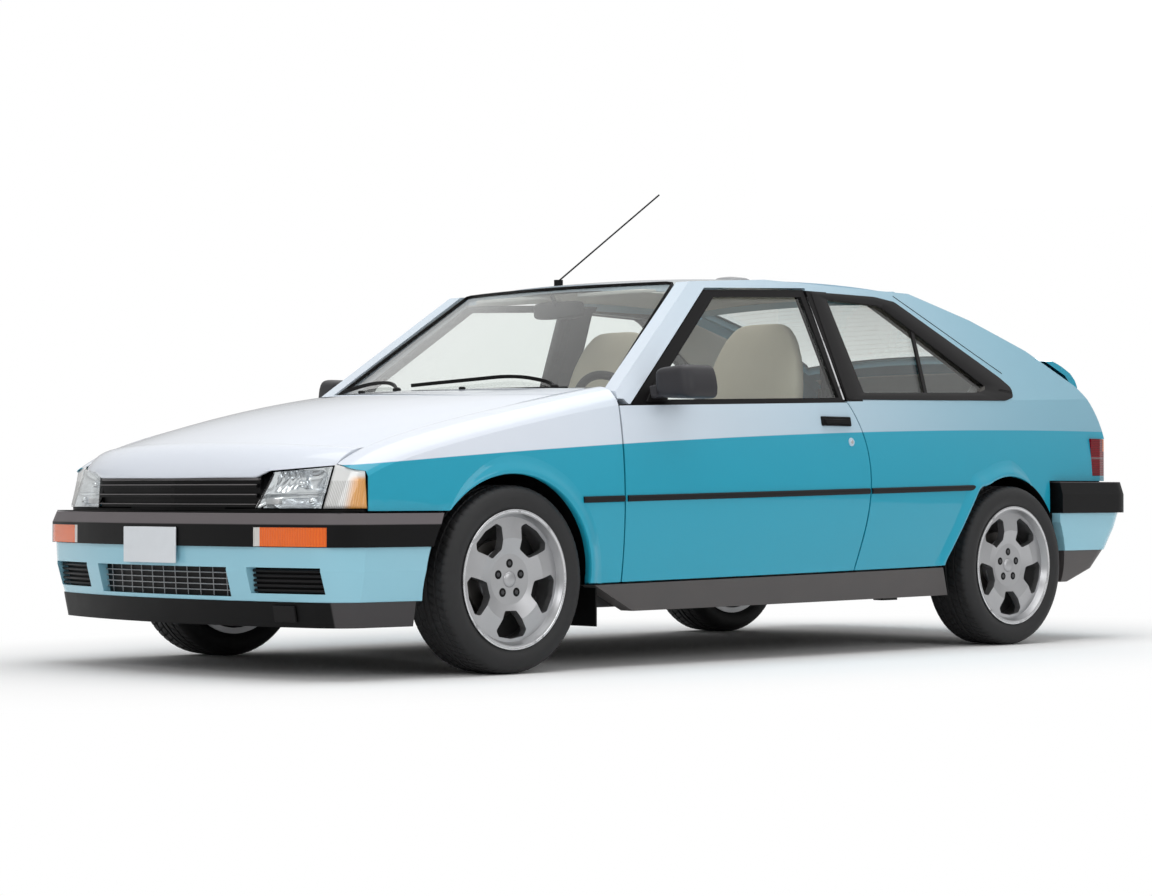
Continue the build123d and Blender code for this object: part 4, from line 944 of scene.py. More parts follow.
mesh_bars = [level_bar(-336, 336, z, 45 + (340 - z) * 0.13, 1.8) for z in (268, 286, 304, 322)]
for y in np.linspace(-300, 300, 11):
    post = np.column_stack([bow_x(np.array([y, y])) - (57, 46), (y, y + 6), (251, 339)])
    mesh_bars.append(carry(post, circle(1.5, 8), (1, 0, 0)))
vent_slats = [level_bar(422, 686, z, 42 + (341 - z) * 0.1, 4.5) for z in (271, 286, 301, 316, 331)]
# The mesh bars are black plastic; their light grey is painted highlight.
mesh_finish = finish_of("mesh_plastic", grained(tone(118, 119, 121), tone(160, 161, 163), 0.35, 0.0003))
piece("lower_mesh", mesh_bars, "car_body", mesh_finish, True)
piece("vent_slats", both(*vent_slats), "car_body", trim_black, True)


def slat_path(z, x_shift):
    """Grille plan: x falls from 1998 on the centreline to 1978 at the lamps."""
    y = np.linspace(-410, 410, 40)
    return np.stack([1998 - np.abs(y) * 0.0485 + x_shift, y, np.full(40, z)], 1)


# The three thin grey strips on the slats' front edges are painted highlight; the broad strip under the bonnet
# is grey trim.
highlight_and_trim_grey = finish_of("grille_highlight_and_trim_grey", grained(tone(82, 80, 81), tone(112, 109, 110), 0.4, 0.0002))
edges = [carry(slat_path(z, shift), np.array([(-3, -1.6), (-3, 1.6), (3, 1.6), (3, -1.6)]))
         for z, shift in ((531.5, 8.5), (561.5, 8.5), (591.5, 8.5))]
edges.append(carry(slat_path(609.0, -4.0), np.array([(-7, -4), (-7, 4), (7, 4), (7, -4)])))
piece("grille_slat_highlights_and_top_strip", edges, "car_body", highlight_and_trim_grey, True)
cheek = np.array([[(1991, 413.5, 519), (1959, 413.5, 612)], [(1990, 416, 519), (1953, 458, 626)]], float)
piece("grille_cheeks", both(cheek), "car_body", black_plastic, thick=4.0)


def painted_top_highlight(low, high, grey):
    """Black bumper plastic whose top edge, from z = low to high metres, is painted grey as a painted
    highlight.
    """
    def recipe(wire):
        links = grained(tone(7, 7, 8), tone(12, 12, 13), 0.36, 0.0004)(wire)
        links["Base Color"] = wire.axes()[2].step(low, high).blend(links["Base Color"], grey)
        return links
    return recipe


def lip_recipe(wire):
    """Black chin that turns warm grey on the flanks, outside y = 0.70."""
    links = grained(tone(7, 7, 8), tone(13, 13, 14), 0.38, 0.0004)(wire)
    flank = wire.sum("ABSOLUTE", wire.axes()[1]).step(0.696, 0.702)
    links["Base Color"] = flank.blend(links["Base Color"], tone(72, 70, 71))
    return links


# The grey tops of both bumper bands are painted highlight where light from above falls on them.
for node, name, recipe in (
        ("front_bumper_band", "bumper_band_top_highlight", painted_top_highlight(0.469, 0.474, tone(104, 99, 101))),
        ("rear_bumper_band", "rear_band_top_highlight", painted_top_highlight(0.603, 0.607, tone(84, 80, 82))),
        ("front_lip", "chin_plastic", lip_recipe)):
    repaint(node, finish_of(name, recipe, specular_ior_level=0.14))


def on_chin(y, z, height):
    """Lays a drawing on the leaning face of the chin, 47 - 0.18 (z - 160) behind the bow."""
    return np.stack([bow_x(y) - 47 + height + (z - 160) * 0.18, y, z], 1)


tow = tablet(rounded_box(505, 585, 176, 226, 6), on_chin, -4, 2.5)
piece("tow_cover", [tow], "car_body", trim_black, True)
print("bumper details ready")

# %% [markdown]
# Door mirrors are rounded shells with the glass set into the back. A sphere whose sines are raised to a
# small power makes a soft box. It grows outwards, its outer end slants, and its back is cut flat for the
# glass.

# %% Door mirrors
MIRROR_CENTRE, MIRROR_HALF = (590, 884, 926), (82, 74, 58)
MIRROR_ROOT, MIRROR_REACH = 810, 148


def mirror_shell():
    """A soft box whose height grows outwards, with a slanted outer end and a flat back."""
    shell = pebble(MIRROR_CENTRE, MIRROR_HALF, 0.36, 40)
    out = (shell[..., 1] - MIRROR_ROOT) / MIRROR_REACH
    rise = (shell[..., 2] - MIRROR_CENTRE[2]) / MIRROR_HALF[2]
    shell[..., 2] = MIRROR_CENTRE[2] + MIRROR_HALF[2] * rise * (0.84 + 0.16 * out) + 4 * out
    shell[..., 1] -= 22 * out * np.clip(rise, 0, 1)
    shell[..., 0] = np.maximum(shell[..., 0] - 22 * out, 510 + 4 * out)
    return shell


def on_mirror(y, z, height):
    """Lays a drawing on the back of the mirror shell."""
    return np.stack([511.0 + 4 * (y - MIRROR_ROOT) / MIRROR_REACH - height, y, z], 1)


shell = mirror_shell()
stem = np.array([(630, 786, 896), (622, 815, 902), (612, 850, 908)], float)
foot = carry(stem, rounded_box(-34, 34, -20, 20, 12))
mirror_glass = finish_of("mirror_glass", chrome, metallic=1.0)
pane_grid = tablet(rounded_box(828, 926, 888, 966, 18), on_mirror, -1.0, 1.2)[:, ::-1]
for name, side in SIDES:
    piece(f"mirror_shell_{name}", one_side(side, shell, foot), f"door_{name}", mirror_plastic,
          True, replaces=[f"door_mirror_{name}"])
    piece(f"mirror_pane_{name}", one_side(side, pane_grid), f"door_{name}", mirror_glass, True)
print("mirrors ready")

# %% [markdown]
# The tailgate is a curved skin whose rows are known: place along the car, height, bulge and crown. A
# function of x and y reads them back, so the spoiler, the plate and the heating wires lie on the skin. The
# spoiler is a low ramp that grows toward the rear and falls off sharply, painted in the darker colour.

# %% Tailgate pieces
HATCH_ROWS = np.array([(-906.5, 1302, 0, 26), (-1240, 1216, 0.35, 24), (-1550, 1110, 0.7, 22),
                       (-1690, 1049, 0.85, 18), (-1815, 981, 1, 14), (-1914, 876, 1, 6),
                       (-1960, 740, 1, 0), (-1973, 640, 1, 0)])
HATCH_BULGE, HATCH_HALF = 70, 700.0
SPOILER_HALF, DROOP_FROM, CLEAR_FROM = 650, 575, 584
SPOILER_SECTION = np.array([(-1652, -3), (-1656, 6), (-1690, 40), (-1722, 54), (-1760, 63), (-1800, 67),
                            (-1830, 64), (-1846, 55), (-1850, 44), (-1842, 24), (-1850, -4)], float)
SEAL_CORNERS = np.array([(-985, -518), (-985, 518), (-1648, 548), (-1648, -548), (-985, -518)], float)


def hatch_skin(x, y, lift):
    """Point of the tailgate skin for a row at x: back by 70 share k, up by crown k, k = 1 - (y / 700)^2."""
    order = HATCH_ROWS[::-1]
    z, share, crown = (np.interp(x, order[:, 0], order[:, column]) for column in (1, 2, 3))
    k = 1 - (y / HATCH_HALF) ** 2
    return np.stack([x - HATCH_BULGE * share * k - 0.42 * lift, y, z + crown * k + 0.9 * lift], -1)


def row_of(x, y):
    """The row that lies at x in plan for this y, found by repeated correction for the bulge."""
    row = x
    for _ in range(5):
        share = np.interp(row, HATCH_ROWS[::-1, 0], HATCH_ROWS[::-1, 2])
        row = x + HATCH_BULGE * share * (1 - (y / HATCH_HALF) ** 2)
    return row


def spoiler(count=90):
    """Rows run across the car, columns from the front foot up the ramp, over the lip and down to the rear
    foot; the ends droop and hang clear of the body side."""
    y = np.linspace(-SPOILER_HALF, SPOILER_HALF, count)[:, None]
    x, lift = SPOILER_SECTION.T
    end = 1 - np.clip((np.abs(y) - DROOP_FROM) / (SPOILER_HALF - DROOP_FROM), 0, 1) ** 2 * 0.35
    clear = np.clip((np.abs(y) - CLEAR_FROM) / 8, 0, 1) * 11.0 - 4.0
    return hatch_skin(x[None] + 0 * y, y + 0 * x[None], np.maximum(lift[None] * end, clear))


def on_tail(y, z, height):
    """Lays a drawing of (y, z) on the upright part of the tailgate, x = -2043 + 0.13 (z - 640)."""
    return np.stack([-2043 + 0.13 * (z - 640) - height, y, z], 1)


def plain_teal(wire):
    """The lower body colour alone, faintly clouded."""
    return lacquer(wire, (wire.noise(3.0) * 0.05).blend(TURQUOISE, SKY))


teal_paint = finish_of("spoiler_teal", plain_teal, **GLOSS)
piece("tail_spoiler", [capped(spoiler())], "tailgate", teal_paint, crease=50.0)
plate_back = tablet(rounded_box(-150, 150, 652, 752, 10), on_tail, -6.0, 2.5)[:, ::-1]
rear_plate = tablet(rounded_box(-137, 137, 656, 748, 8), on_tail, 2.0, 5.0)[:, ::-1]
piece("rear_plate_frame", [plate_back], "tailgate", trim_black, True)
piece("rear_plate", [rear_plate], "tailgate", plate_finish, True)


def on_tail_upper(y, z, height):
    """Lays a drawing on the tailgate between the spoiler and the plate."""
    x = np.interp(z, (740, 876), (-2030, -1984))
    return np.stack([x - height, y, z], 1)


hatch_lock = tablet(circle(15, 28) + (0, 812), on_tail_upper, -8.0, 5.0)[:, ::-1]
piece("tailgate_lock", [hatch_lock], "tailgate", bright, True)
lamp_bar = [carry(np.array([(-2036, y, 768), (-2044, y, 764)]), rounded_box(-45, 45, -9, 9, 6), (0, 0, 1))
            for y in (-75, 75)]
piece("plate_lamps", lamp_bar, "tailgate", black_plastic, True)
wires = []
for x in np.linspace(-1040, -1590, 13):
    y = np.linspace(-470, 470, 30)
    wires.append(carry(hatch_skin(row_of(x, y), y, -3.2), circle(0.35, 6)))
wire_finish = finish_of("heating_wire", grained(tone(150, 132, 112), tone(176, 158, 138), 0.5, 0.0001))
piece("heating_wires", wires, "tailgate", wire_finish, True)
edges = [np.linspace(*ends, 30)[1:] for ends in zip(SEAL_CORNERS, SEAL_CORNERS[1:])]
seal_x, seal_y = np.vstack([SEAL_CORNERS[:1], *edges]).T
seal = carry(hatch_skin(row_of(seal_x, seal_y), seal_y, -1.0), rounded_box(-10, 10, -2.5, 2.5, 2))
piece("hatch_glass_seal", [seal], "tailgate", trim_black, True)
print("tailgate pieces ready")

# %% [markdown]
# Seats are foam under cloth. Each pad starts a little small as a rounded block bent along the seat's side
# view. Its sewn lines are held while air pressure swells the cloth between them, so the pads crown and
# pull in at the seams, as stuffed covers do. No point may move more than 22 mm, which keeps each pad in
# its own space.

# %% Seat pads
PAD_VOXEL, PAD_CAP, PANEL_SEAM = 10.0, 22.0, 105.0
PAD_PRESSURE, PAD_FRAMES = 4.0, 20


def soften(made):
    """One level of subdivision, which rounds the cloth."""
    smooth = made.modifiers.new("smooth", "SUBSURF")
    smooth.levels = smooth.render_levels = 1


def swell(made, seams, voxel, cap):
    """Even remesh, cloth under pressure for 20 frames with the seam points held, then each move is capped."""
    even = made.modifiers.new("even", "REMESH")
    even.mode, even.voxel_size = "VOXEL", voxel * MM
    layers = bpy.context.evaluated_depsgraph_get()
    mesh = bpy.data.meshes.new_from_object(made.evaluated_get(layers))
    made.modifiers.clear()
    made.data = mesh
    start = np.empty(len(mesh.vertices) * 3, np.float32)
    mesh.vertices.foreach_get("co", start)
    start = start.reshape(-1, 3)
    gap = np.min([np.linalg.norm(start - spot * MM, axis=1) for spot in seams], axis=0)
    group = made.vertex_groups.new(name="seams")
    group.add(np.flatnonzero(gap < 0.8 * voxel * MM).tolist(), 1.0, "REPLACE")
    cloth = made.modifiers.new("swell", "CLOTH")
    cloth.settings.use_pressure, cloth.settings.uniform_pressure_force = True, PAD_PRESSURE
    cloth.settings.vertex_group_mass = group.name
    cloth.settings.effector_weights.gravity = 0.0
    cloth.collision_settings.use_collision = False
    for step in range(1, PAD_FRAMES + 1):
        bpy.context.scene.frame_set(step)
    shape = made.evaluated_get(bpy.context.evaluated_depsgraph_get()).data
    after = np.empty(len(shape.vertices) * 3, np.float32)
    shape.vertices.foreach_get("co", after)
    made.modifiers.remove(cloth)
    made.vertex_groups.clear()
    move = after.reshape(-1, 3) - start
    far = np.linalg.norm(move, axis=1, keepdims=True)
    move *= np.minimum(1.0, cap * MM / np.maximum(far, 1e-9))
    mesh.vertices.foreach_set("co", (start + move).ravel())
    mesh.update()
    mesh.shade_smooth()
    soften(made)
    bpy.context.scene.frame_set(1)
    return float(far.max() / MM)


def cushion_block(low, high, half, thick, power, taper=None, count=40):
    """A rounded block along the side-view line from low to high; taper gives its half width by share."""
    block = pebble((0, 0, 0), (1, 1, 1), power, count)
    share = (block[..., 2] + 1) / 2
    low, high = np.asarray(low, float), np.asarray(high, float)
    along = (high - low) / np.linalg.norm(high - low)
    line = low + (high - low) * share[..., None]
    depth = block[..., 0] * np.interp(share, (0, 1), thick)
    width = block[..., 1] * (np.interp(share, *taper) if taper else half)
    return np.stack([line[..., 0] + along[1] * depth, width, line[..., 1] - along[0] * depth], -1)


def cloth_recipe(wire):
    """Cream tweed: two crossed fine waves, a slow change of tone and soft lint."""
    x, y, z = wire.axes()
    weave = wire.sum("SINE", y * 2600.0) * wire.sum("SINE", (z + x) * 2600.0)
    cloud = wire.noise(12.0, 4.0)
    lint = wire.noise(500.0, 3.0)
    mixed = (cloud * 0.5 + lint * 0.5).blend(tone(206, 198, 178), tone(228, 222, 206))
    return {"Base Color": (weave * 0.2 + 0.2).blend(mixed, tone(172, 163, 142)),
            "Roughness": lint * 0.2 + 0.75, "Normal": wire.bump(weave + lint, 0.3, 0.0008)}


seat_cloth = finish_of("cream_seat_cloth", cloth_recipe, specular_ior_level=0.15)
HEADREST = ((0.0, 0.55, 0.70, 0.82, 0.92, 1.0), (222, 232, 228, 212, 190, 172))
PADS = {
    "front_cushion": (cushion_block((332, 362), (-150, 338), 224, (46, 38), 0.34), 370.0, "front_seats"),
    "front_back": (cushion_block((-176, 362), (-360, 1176), 224, (48, 30), 0.42, HEADREST, 48), 370.0,
                   "front_seats"),
    "rear_cushion": (cushion_block((-572, 446), (-905, 430), 522, (34, 22), 0.30, None, 48), 0.0,
                     "rear_seat"),
    "rear_back": (cushion_block((-930, 440), (-1100, 908), 522, (24, 17), 0.30, None, 48), 0.0,
                  "rear_seat"),
}


def sewn_lines(block, wide):
    """Seams: the edge of the pad's face all round and two lines down its middle panel."""
    rows = block.shape[0]
    half = block.shape[1] // 2
    ring = block[:, [int(0.7 * half), int(1.3 * half)]].reshape(-1, 3)
    spine = np.abs(block[..., 1])
    row = np.arange(rows)[:, None]
    panel = block[(np.abs(spine - wide) < 16) & (row > 4) & (row < rows - 5)]
    return np.vstack([ring, panel])


def twin_of(pad, name):
    """The same finished pad mirrored to the other side of the car."""
    mesh = pad.data.copy()
    spots = np.empty(len(mesh.vertices) * 3, np.float32)
    mesh.vertices.foreach_get("co", spots)
    mesh.vertices.foreach_set("co", (spots.reshape(-1, 3) * (1, -1, 1)).astype(np.float32).ravel())
    mesh.flip_normals()
    twin = bpy.data.objects.new(name, mesh)
    bpy.context.scene.collection.objects.link(twin)
    soften(twin)
    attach(twin, "car_body")
    return twin


for label, (block, centre, node) in PADS.items():
    names = [f"{label}_pad_left", f"{label}_pad_right"] if centre else [f"{label}_pad"]
    stands_for = [node] if label.endswith("cushion") else []
    pad = piece(names[0], [block + (0, centre, 0)], "car_body", seat_cloth, True, crease=80.0,
                replaces=stands_for)
    seams = sewn_lines(block, PANEL_SEAM) + (0, centre, 0)
    moved = swell(pad, seams, PAD_VOXEL, PAD_CAP)
    for made in [pad] + [twin_of(pad, name) for name in names[1:]]:
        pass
    print(label, "points", len(pad.data.vertices), "moved up to", round(moved, 1), "mm")

# %% [markdown]
# What the pads stand on, and the cabin's linings, are plain: rails, carpets with a tunnel, a cloth
# headliner, a parcel shelf and moulded cards with an armrest in the doors. Each lining is a depth over a
# flat grid, so one function of two parameters makes it.

# %% Cabin linings
def sheet_of(a0, a1, b0, b1, place, rows=60, columns=60):
    """A grid of two parameters laid in space by place(a, b)."""
    a, b = np.meshgrid(np.linspace(a0, a1, rows), np.linspace(b0, b1, columns), indexing="ij")
    return np.stack(np.broadcast_arrays(*place(a, b)), -1)


ROOF_ARC = np.polyfit((340.0, -300.0, -900.0), (1299.0, 1346.0, 1328.0), 2)


def headliner(x, y):
    """The roof's own arc lowered by 32 mm, and by 27 mm more at its sides."""
    return x, y, np.polyval(ROOF_ARC, x) - 27 * (y / 548.0) ** 2 - 32.0


def carpet(x, y):
    """Flat floor with a tunnel: 62 exp(-(y / 95)^4), and a ramp up to the toe board."""
    ramp = 0.9 * np.maximum(x - 620.0, 0.0)
    return x, y, 229.0 + 62.0 * np.exp(-(y / 95.0) ** 4) + ramp


def boot_floor(x, y):
    """Flat floor behind the bench."""
    return x, y, 404.0 + 0 * x


def door_card(x, z):
    """The door's inner face with an armrest bulge at z = 622 and a shallow pocket below."""
    arm = 34 * np.exp(-((z - 622) / 34.0) ** 4) * np.exp(-((x - 60) / 260.0) ** 6)
    pocket = 16 * np.exp(-((z - 400) / 60.0) ** 4) * np.exp(-((x - 180) / 330.0) ** 6)
    return x, flank_y(x, z) - 78.0 - arm - pocket, z


CARD_FOOT, CARD_TOP, CARD_CUT = 430.0, 905.0, 375.0


def quarter_card(x, share):
    """Side lining beside the rear bench, cut away 375 mm round the rear axle."""
    rise = np.sqrt(np.maximum(CARD_CUT ** 2 - (x - AXLES["rear"]) ** 2, 0.0))
    low = np.maximum(AXLE_Z + rise, CARD_FOOT)
    z = low + (CARD_TOP - low) * share
    return x, flank_y(x, z) - 74.0, z


def shelf(x, y):
    """Parcel shelf, almost level at z = 918."""
    return x, y, 918.0 + 0.03 * (x + 1100.0)


def woven(dark, light, scale):
    """Short pile or knit: mottled tone and a fine bump at this many cells a metre."""
    def recipe(wire):
        tufts = wire.noise(scale, 3.0)
        cloud = wire.noise(8.0, 4.0)
        return {"Base Color": (tufts * 0.6 + cloud * 0.4).blend(dark, light), "Roughness": tufts * 0.15 + 0.8,
                "Normal": wire.bump(tufts, 0.5, 0.002)}
    return recipe


def card_recipe(wire):
    """Grey-beige door card with a cream cloth field between z = 0.660 and z = 0.800."""
    links = grained(tone(150, 146, 136), tone(166, 161, 150), 0.5, 0.0006)(wire)
    x, y, z = wire.axes()
    field = z.step(0.658, 0.662) * z.step(0.802, 0.798)
    links["Base Color"] = field.blend(links["Base Color"], tone(206, 198, 180))
    return links


lining = finish_of("headliner_knit", woven(tone(206, 204, 199), tone(230, 228, 223), 700.0),
                   specular_ior_level=0.1)
pile = finish_of("carpet_pile", woven(tone(58, 57, 56), tone(92, 90, 86), 400.0), specular_ior_level=0.1)
card = finish_of("door_card", card_recipe)
roof_sheet = sheet_of(300, -880, -515, 515, headliner)
piece("headliner", [roof_sheet], "car_body", lining, thick=3.0)
floor_grids = [sheet_of(812, -545, -690, 690, carpet), sheet_of(-935, -1880, -555, 555, boot_floor, 20, 20)]
piece("carpets", floor_grids, "car_body", pile, thick=3.0)
base = sheet_of(228, 405, -540, 540, lambda z, y: (-548.0 - 0 * z, y, z), 6, 20)
RAIL, CROSS_BAR = rounded_box(-16, 16, -18, 18, 6), rounded_box(-18, 18, -28, 12, 6)
rails = [carry(((310, y, 246), (-150, y, 246)), RAIL) for y in (190, 550)]
rails += [carry(((x, 200, 292), (x, 540, 292)), CROSS_BAR) for x in (240, -90)]
piece("seat_frames", both(*rails), "car_body", black_plastic, True)
piece("bench_base", [base], "car_body", pile, thick=4.0)
quarter = sheet_of(-440, -1380, 0, 1, quarter_card)
piece("quarter_cards", both(quarter), "car_body", card, thick=3.0)
parcel_shelf = sheet_of(-1108, -1500, -585, 585, shelf, 20, 20)
piece("parcel_shelf", [parcel_shelf], "car_body", pile, thick=12.0)
inner_card = sheet_of(690, -285, 312, 852, door_card, 80, 70)
for name, side in SIDES:
    piece(f"door_card_{name}", one_side(side, inner_card), f"door_{name}", card, thick=2.0)
print("linings ready")

# %% [markdown]
# Small cabin pieces: the dash cowl with vents, radio and glove box, the steering wheel's pad, levers, the
# mirror on the screen, sun visors and belts.

# %% Cabin fittings
DASH_X, DASH_Z, UPPER_SLOPE, LOWER_SLOPE = 505, 760, 0.178, 0.344


def on_dash(y, z, height):
    """Lays a drawing on the dash, whose face stands furthest back at z = 760 and runs forward from there."""
    x = DASH_X + np.where(z > DASH_Z, (z - DASH_Z) * UPPER_SLOPE, (DASH_Z - z) * LOWER_SLOPE)
    return np.stack([x - height, y, z], 1)


cowl = pebble((600, 370, 884), (88, 165, 38), 0.45, 24)
console = pebble((420, 0, 330), (170, 82, 60), 0.35, 24)
column = carry(np.array([(540, 370, 742), (440, 370, 787)], float), rounded_box(-48, 48, -38, 38, 14))
piece("dash_cowl", [cowl, console, column], "car_body", cabin_plastic, True)
DASH_TABLETS = ((-575, -470, 790, 850), (470, 575, 790, 850), (-95, -8, 790, 850), (8, 95, 790, 850),
                (-92, 92, 700, 752))


def vane(y0, y1, z):
    """A thin round bar across a dash vent, 5 mm behind the face of the dash."""
    x = DASH_X - 5 + (z - DASH_Z) * UPPER_SLOPE
    return carry(((x, y0, z), (x, y1, z)), circle(2.5, 6))


vents = [tablet(rounded_box(*box, 8), on_dash, -3.0, 5.0)[:, ::-1] for box in DASH_TABLETS]
vents += [vane(box[0], box[1], z) for box in DASH_TABLETS[:4] for z in (802, 812, 822, 832, 842)]
piece("dash_vents", vents, "car_body", black_plastic, True)
glove_box = tablet(rounded_box(-560, -180, 622, 742, 14), on_dash, -2.0, 7.0)[:, ::-1]
piece("glove_box", [glove_box], "car_body", cabin_plastic, True)
wheel_pad = pebble((390, 370, 811), (24, 74, 46), 0.5, 20)
piece("wheel_pad", [wheel_pad], "steering_wheel", black_plastic, True)
lever = carry(((300, 0, 372), (285, 0, 420), (262, 0, 478)), circle(7, 10), (0, 1, 0))
knob = pebble((258, 0, 490), (20, 20, 24), 0.8, 16)
brake = carry(((60, 0, 292), (-40, 0, 318), (-150, 0, 348)), rounded_box(-16, 16, -14, 14, 8))
piece("cabin_levers", [lever, knob, brake], "car_body", black_plastic, True)
stalk = carry(((352, 0, 1264), (338, 0, 1246), (322, 0, 1224)), circle(8, 10), (0, 1, 0))
inner_mirror = pebble((316, 0, 1214), (16, 122, 31), 0.4, 24)
visors = [pebble((262, y, 1262), (70, 185, 9), 0.4, 20) for y in (-265, 265)]
piece("rear_view_mirror", [inner_mirror, stalk], "car_body", trim_black, True)
piece("sun_visors", visors, "car_body", lining, True)
BELT_RUN = ((-348, 662, 1140), (-345, 668, 1000), (-350, 700, 640), (-330, 706, 330))
belt = carry(rounded(BELT_RUN, 2, closed=False), rounded_box(-1.2, 1.2, -23, 23, 1), (1, 0, 0))
webbing = finish_of("belt_webbing", woven(tone(34, 34, 36), tone(58, 58, 60), 900.0), specular_ior_level=0.2)
piece("seat_belts", both(belt), "car_body", webbing, True)
print("cabin fittings ready")

# %% [markdown]
# The screen sits in a black rubber seal, and the wipers rest on arms from the scuttle. The seal is a flat
# profile carried round the edge of the glass, whose plane and bow come from the body drawing.

# %% Screen seal, wiper arms and washers
FOOT_X, FOOT_Z, HEAD_X, HEAD_Z, SCREEN_BOW = 920, 895, 345, 1293, 3500


def on_screen(y, z, lift):
    """Point of the screen's outer face at (y, z), lifted square to it; the glass is bowed by y^2 / 3500."""
    x = FOOT_X + (HEAD_X - FOOT_X) * (z - FOOT_Z) / (HEAD_Z - FOOT_Z) - y ** 2 / SCREEN_BOW
    return np.stack([x + 0.57 * lift, y, z + 0.82 * lift], -1)


def drop(node, x, y):
    """Height of a CAD node's top surface above (x, y), in millimetres."""
    place = frame["nodes"][node].ray_cast((x * MM, y * MM, 3.0), (0.0, 0.0, -1.0))[1]
    return place[2] / MM


SIDE_EDGE = np.array([(706, 892), (528, 1283)], float)
side_run = SIDE_EDGE[0] + (SIDE_EDGE[1] - SIDE_EDGE[0]) * np.linspace(0, 1, 30)[:, None]
top_run = np.stack([np.linspace(528, -528, 40), np.full(40, 1286.0)], 1)
edge_line = np.vstack([side_run, top_run[1:-1], (side_run * (-1, 1))[::-1]])
seal = carry(on_screen(*edge_line.T, 1.5), rounded_box(-2, 2, -6, 6, 1.5), (0.57, 0, 0.82))
piece("screen_seal", [seal], "car_body", trim_black, True)
WIPER_RUNS = (((520, 905), (480, 925), (310, 950), (130, 938), (-150, 926)),
              ((-215, 912), (-260, 930), (-340, 944), (-480, 942), (-640, 916)))
arms = []
for run in WIPER_RUNS:
    line = rounded(run, 3, closed=False)
    arms.append(carry(on_screen(*line.T, 13.0), rounded_box(-4, 4, -6, 6, 2)))
    arms.append(pebble(on_screen(*np.array(run[0], float), 10.0), (14, 14, 12), 0.8, 14))
piece("wiper_arms", arms, "car_body", black_plastic, True)
jets = [pebble((1010, y, drop("bonnet", 1010, y) + 3), (12, 9, 6), 0.7, 12) for y in (-260, 260)]
piece("washer_jets", jets, "bonnet", black_plastic, True)
print("screen pieces ready")

# %% [markdown]
# Under the bonnet the plain engine block gets what one sees when the bonnet is up: rocker cover, air
# filter, battery, a bottle, hoses and the radiator's core.

# %% Engine bay
bay_black = finish_of("bay_black", grained(tone(30, 30, 32), tone(48, 48, 50), 0.45, 0.0006))
bay_alloy = finish_of("rocker_cover_alloy", satin_alloy, metallic=0.8)
rocker = pebble((1190, 0, 700), (95, 300, 34), 0.3, 24)
ribs = [carry(((x, -250, 734), (x, 250, 734)), circle(6, 8)) for x in (1130, 1160, 1190, 1220, 1250)]
piece("rocker_cover", [rocker] + ribs, "car_body", bay_alloy, True)
INTAKE_RUN = ((1410, 230, 700), (1540, 150, 690), (1640, 120, 620), (1690, 120, 560))
HOSE_RUN = ((1250, -260, 690), (1400, -330, 670), (1560, -300, 640), (1698, -260, 610))
air_filter = pebble((1410, 230, 690), (105, 135, 40), 0.4, 20)
battery = pebble((1560, 420, 560), (85, 110, 90), 0.25, 20)
bottle = pebble((1590, -430, 540), (70, 80, 90), 0.4, 20)
intake = carry(rounded(INTAKE_RUN, 2, closed=False), circle(32, 16), (0, 1, 0))
hose = carry(rounded(HOSE_RUN, 2, closed=False), circle(19, 14))
bay_grids = [air_filter, battery, bottle, intake, hose]
piece("bay_boxes_and_hoses", bay_grids, "car_body", bay_black, True)
core = sheet_of(-540, 540, 270, 590, lambda y, z: (1698.0 + 0 * y, y, z), 4, 4)[::-1]
core_finish = finish_of("radiator_core", ribbed(tone(26, 26, 27), tone(70, 70, 70), 0.004, 1))
piece("radiator_core", [core], "car_body", core_finish, thick=2.0)
print("engine bay ready")

# %% [markdown]
# Last come small closing pieces: a black shelf and a low wall behind each bumper's top edge, the rolled
# front lip of the bonnet that comes down to the grille, pale linings inside the rear pillars and the
# tailgate, and a vent on the roof.

# %% Closing pieces
def front_shelf(y, share):
    """Level sheet at z = 506 from x = 1850 out to 38 mm behind the bumper's bow."""
    return 1850.0 + (bow_x(y) - 38.0 - 1850.0) * share, y, 506.0 + 0 * y


def rear_shelf(y, share):
    """Level sheet at z = 606 from x = -1890 to 50 mm inside the same bow at the tail."""
    return -1890.0 - (bow_x(y) - 50.0 - 1890.0) * share, y, 606.0 + 0 * y


FRONT_WALL = ((1836, 750), (1850, 742), (1888, 705), (1912, 655), (1975, 420), (1980, 0))
REAR_WALL = ((-1845, 722), (-1905, 716), (-1950, 698), (-2008, 556), (-2026, 0))


def wall(plan, low, high):
    """Upright sheet over half a plan of (x, y) points and its mirror image."""
    half = np.array(plan, float)
    line = np.concatenate([half, half[-2::-1] * (1, -1)])
    return np.stack([np.column_stack([line, np.full(len(line), z)]) for z in (low, high)], 1)


def nose_lip(count=90):
    """Follows the bonnet's edge x = 2015 - 4.196e-5 y^2 - 7.497e-10 y^4, z = 618 + 7.6e-5 y^2, and hangs
    below it."""
    y = np.linspace(458, -458, count)[:, None]
    x = 2015.0 - 4.196e-5 * y ** 2 - 7.497e-10 * y ** 4
    edge = 618.0 + 7.6e-5 * y ** 2
    low = np.minimum(np.interp(np.abs(y), (0, 405, 458), (611.5, 613.0, 633.5)), edge - 0.5)
    hang = edge - low
    z = np.hstack([edge + 9.0, edge + 1.0, low + 0.3 * hang, low + 0.1 * hang, low, low + 1.0])
    back = np.array([1.6, -0.7, -0.7, 0.8, 4.0, 12.0])
    return np.stack(np.broadcast_arrays(x - back, y, z), -1)


def pillar_lining(x, share):
    """Inner face of the rear pillar, from the quarter window's slanted edge up to the tailgate's side."""
    low = np.interp(-x, (705, 1192, 1260, 1520), (1256, 974, 930, 930))
    high = np.interp(-x, -HATCH_ROWS[:, 0], HATCH_ROWS[:, 1]) - 45.0
    z = low + (high - low) * share
    return x, window_y(x, z) - 62.0, z


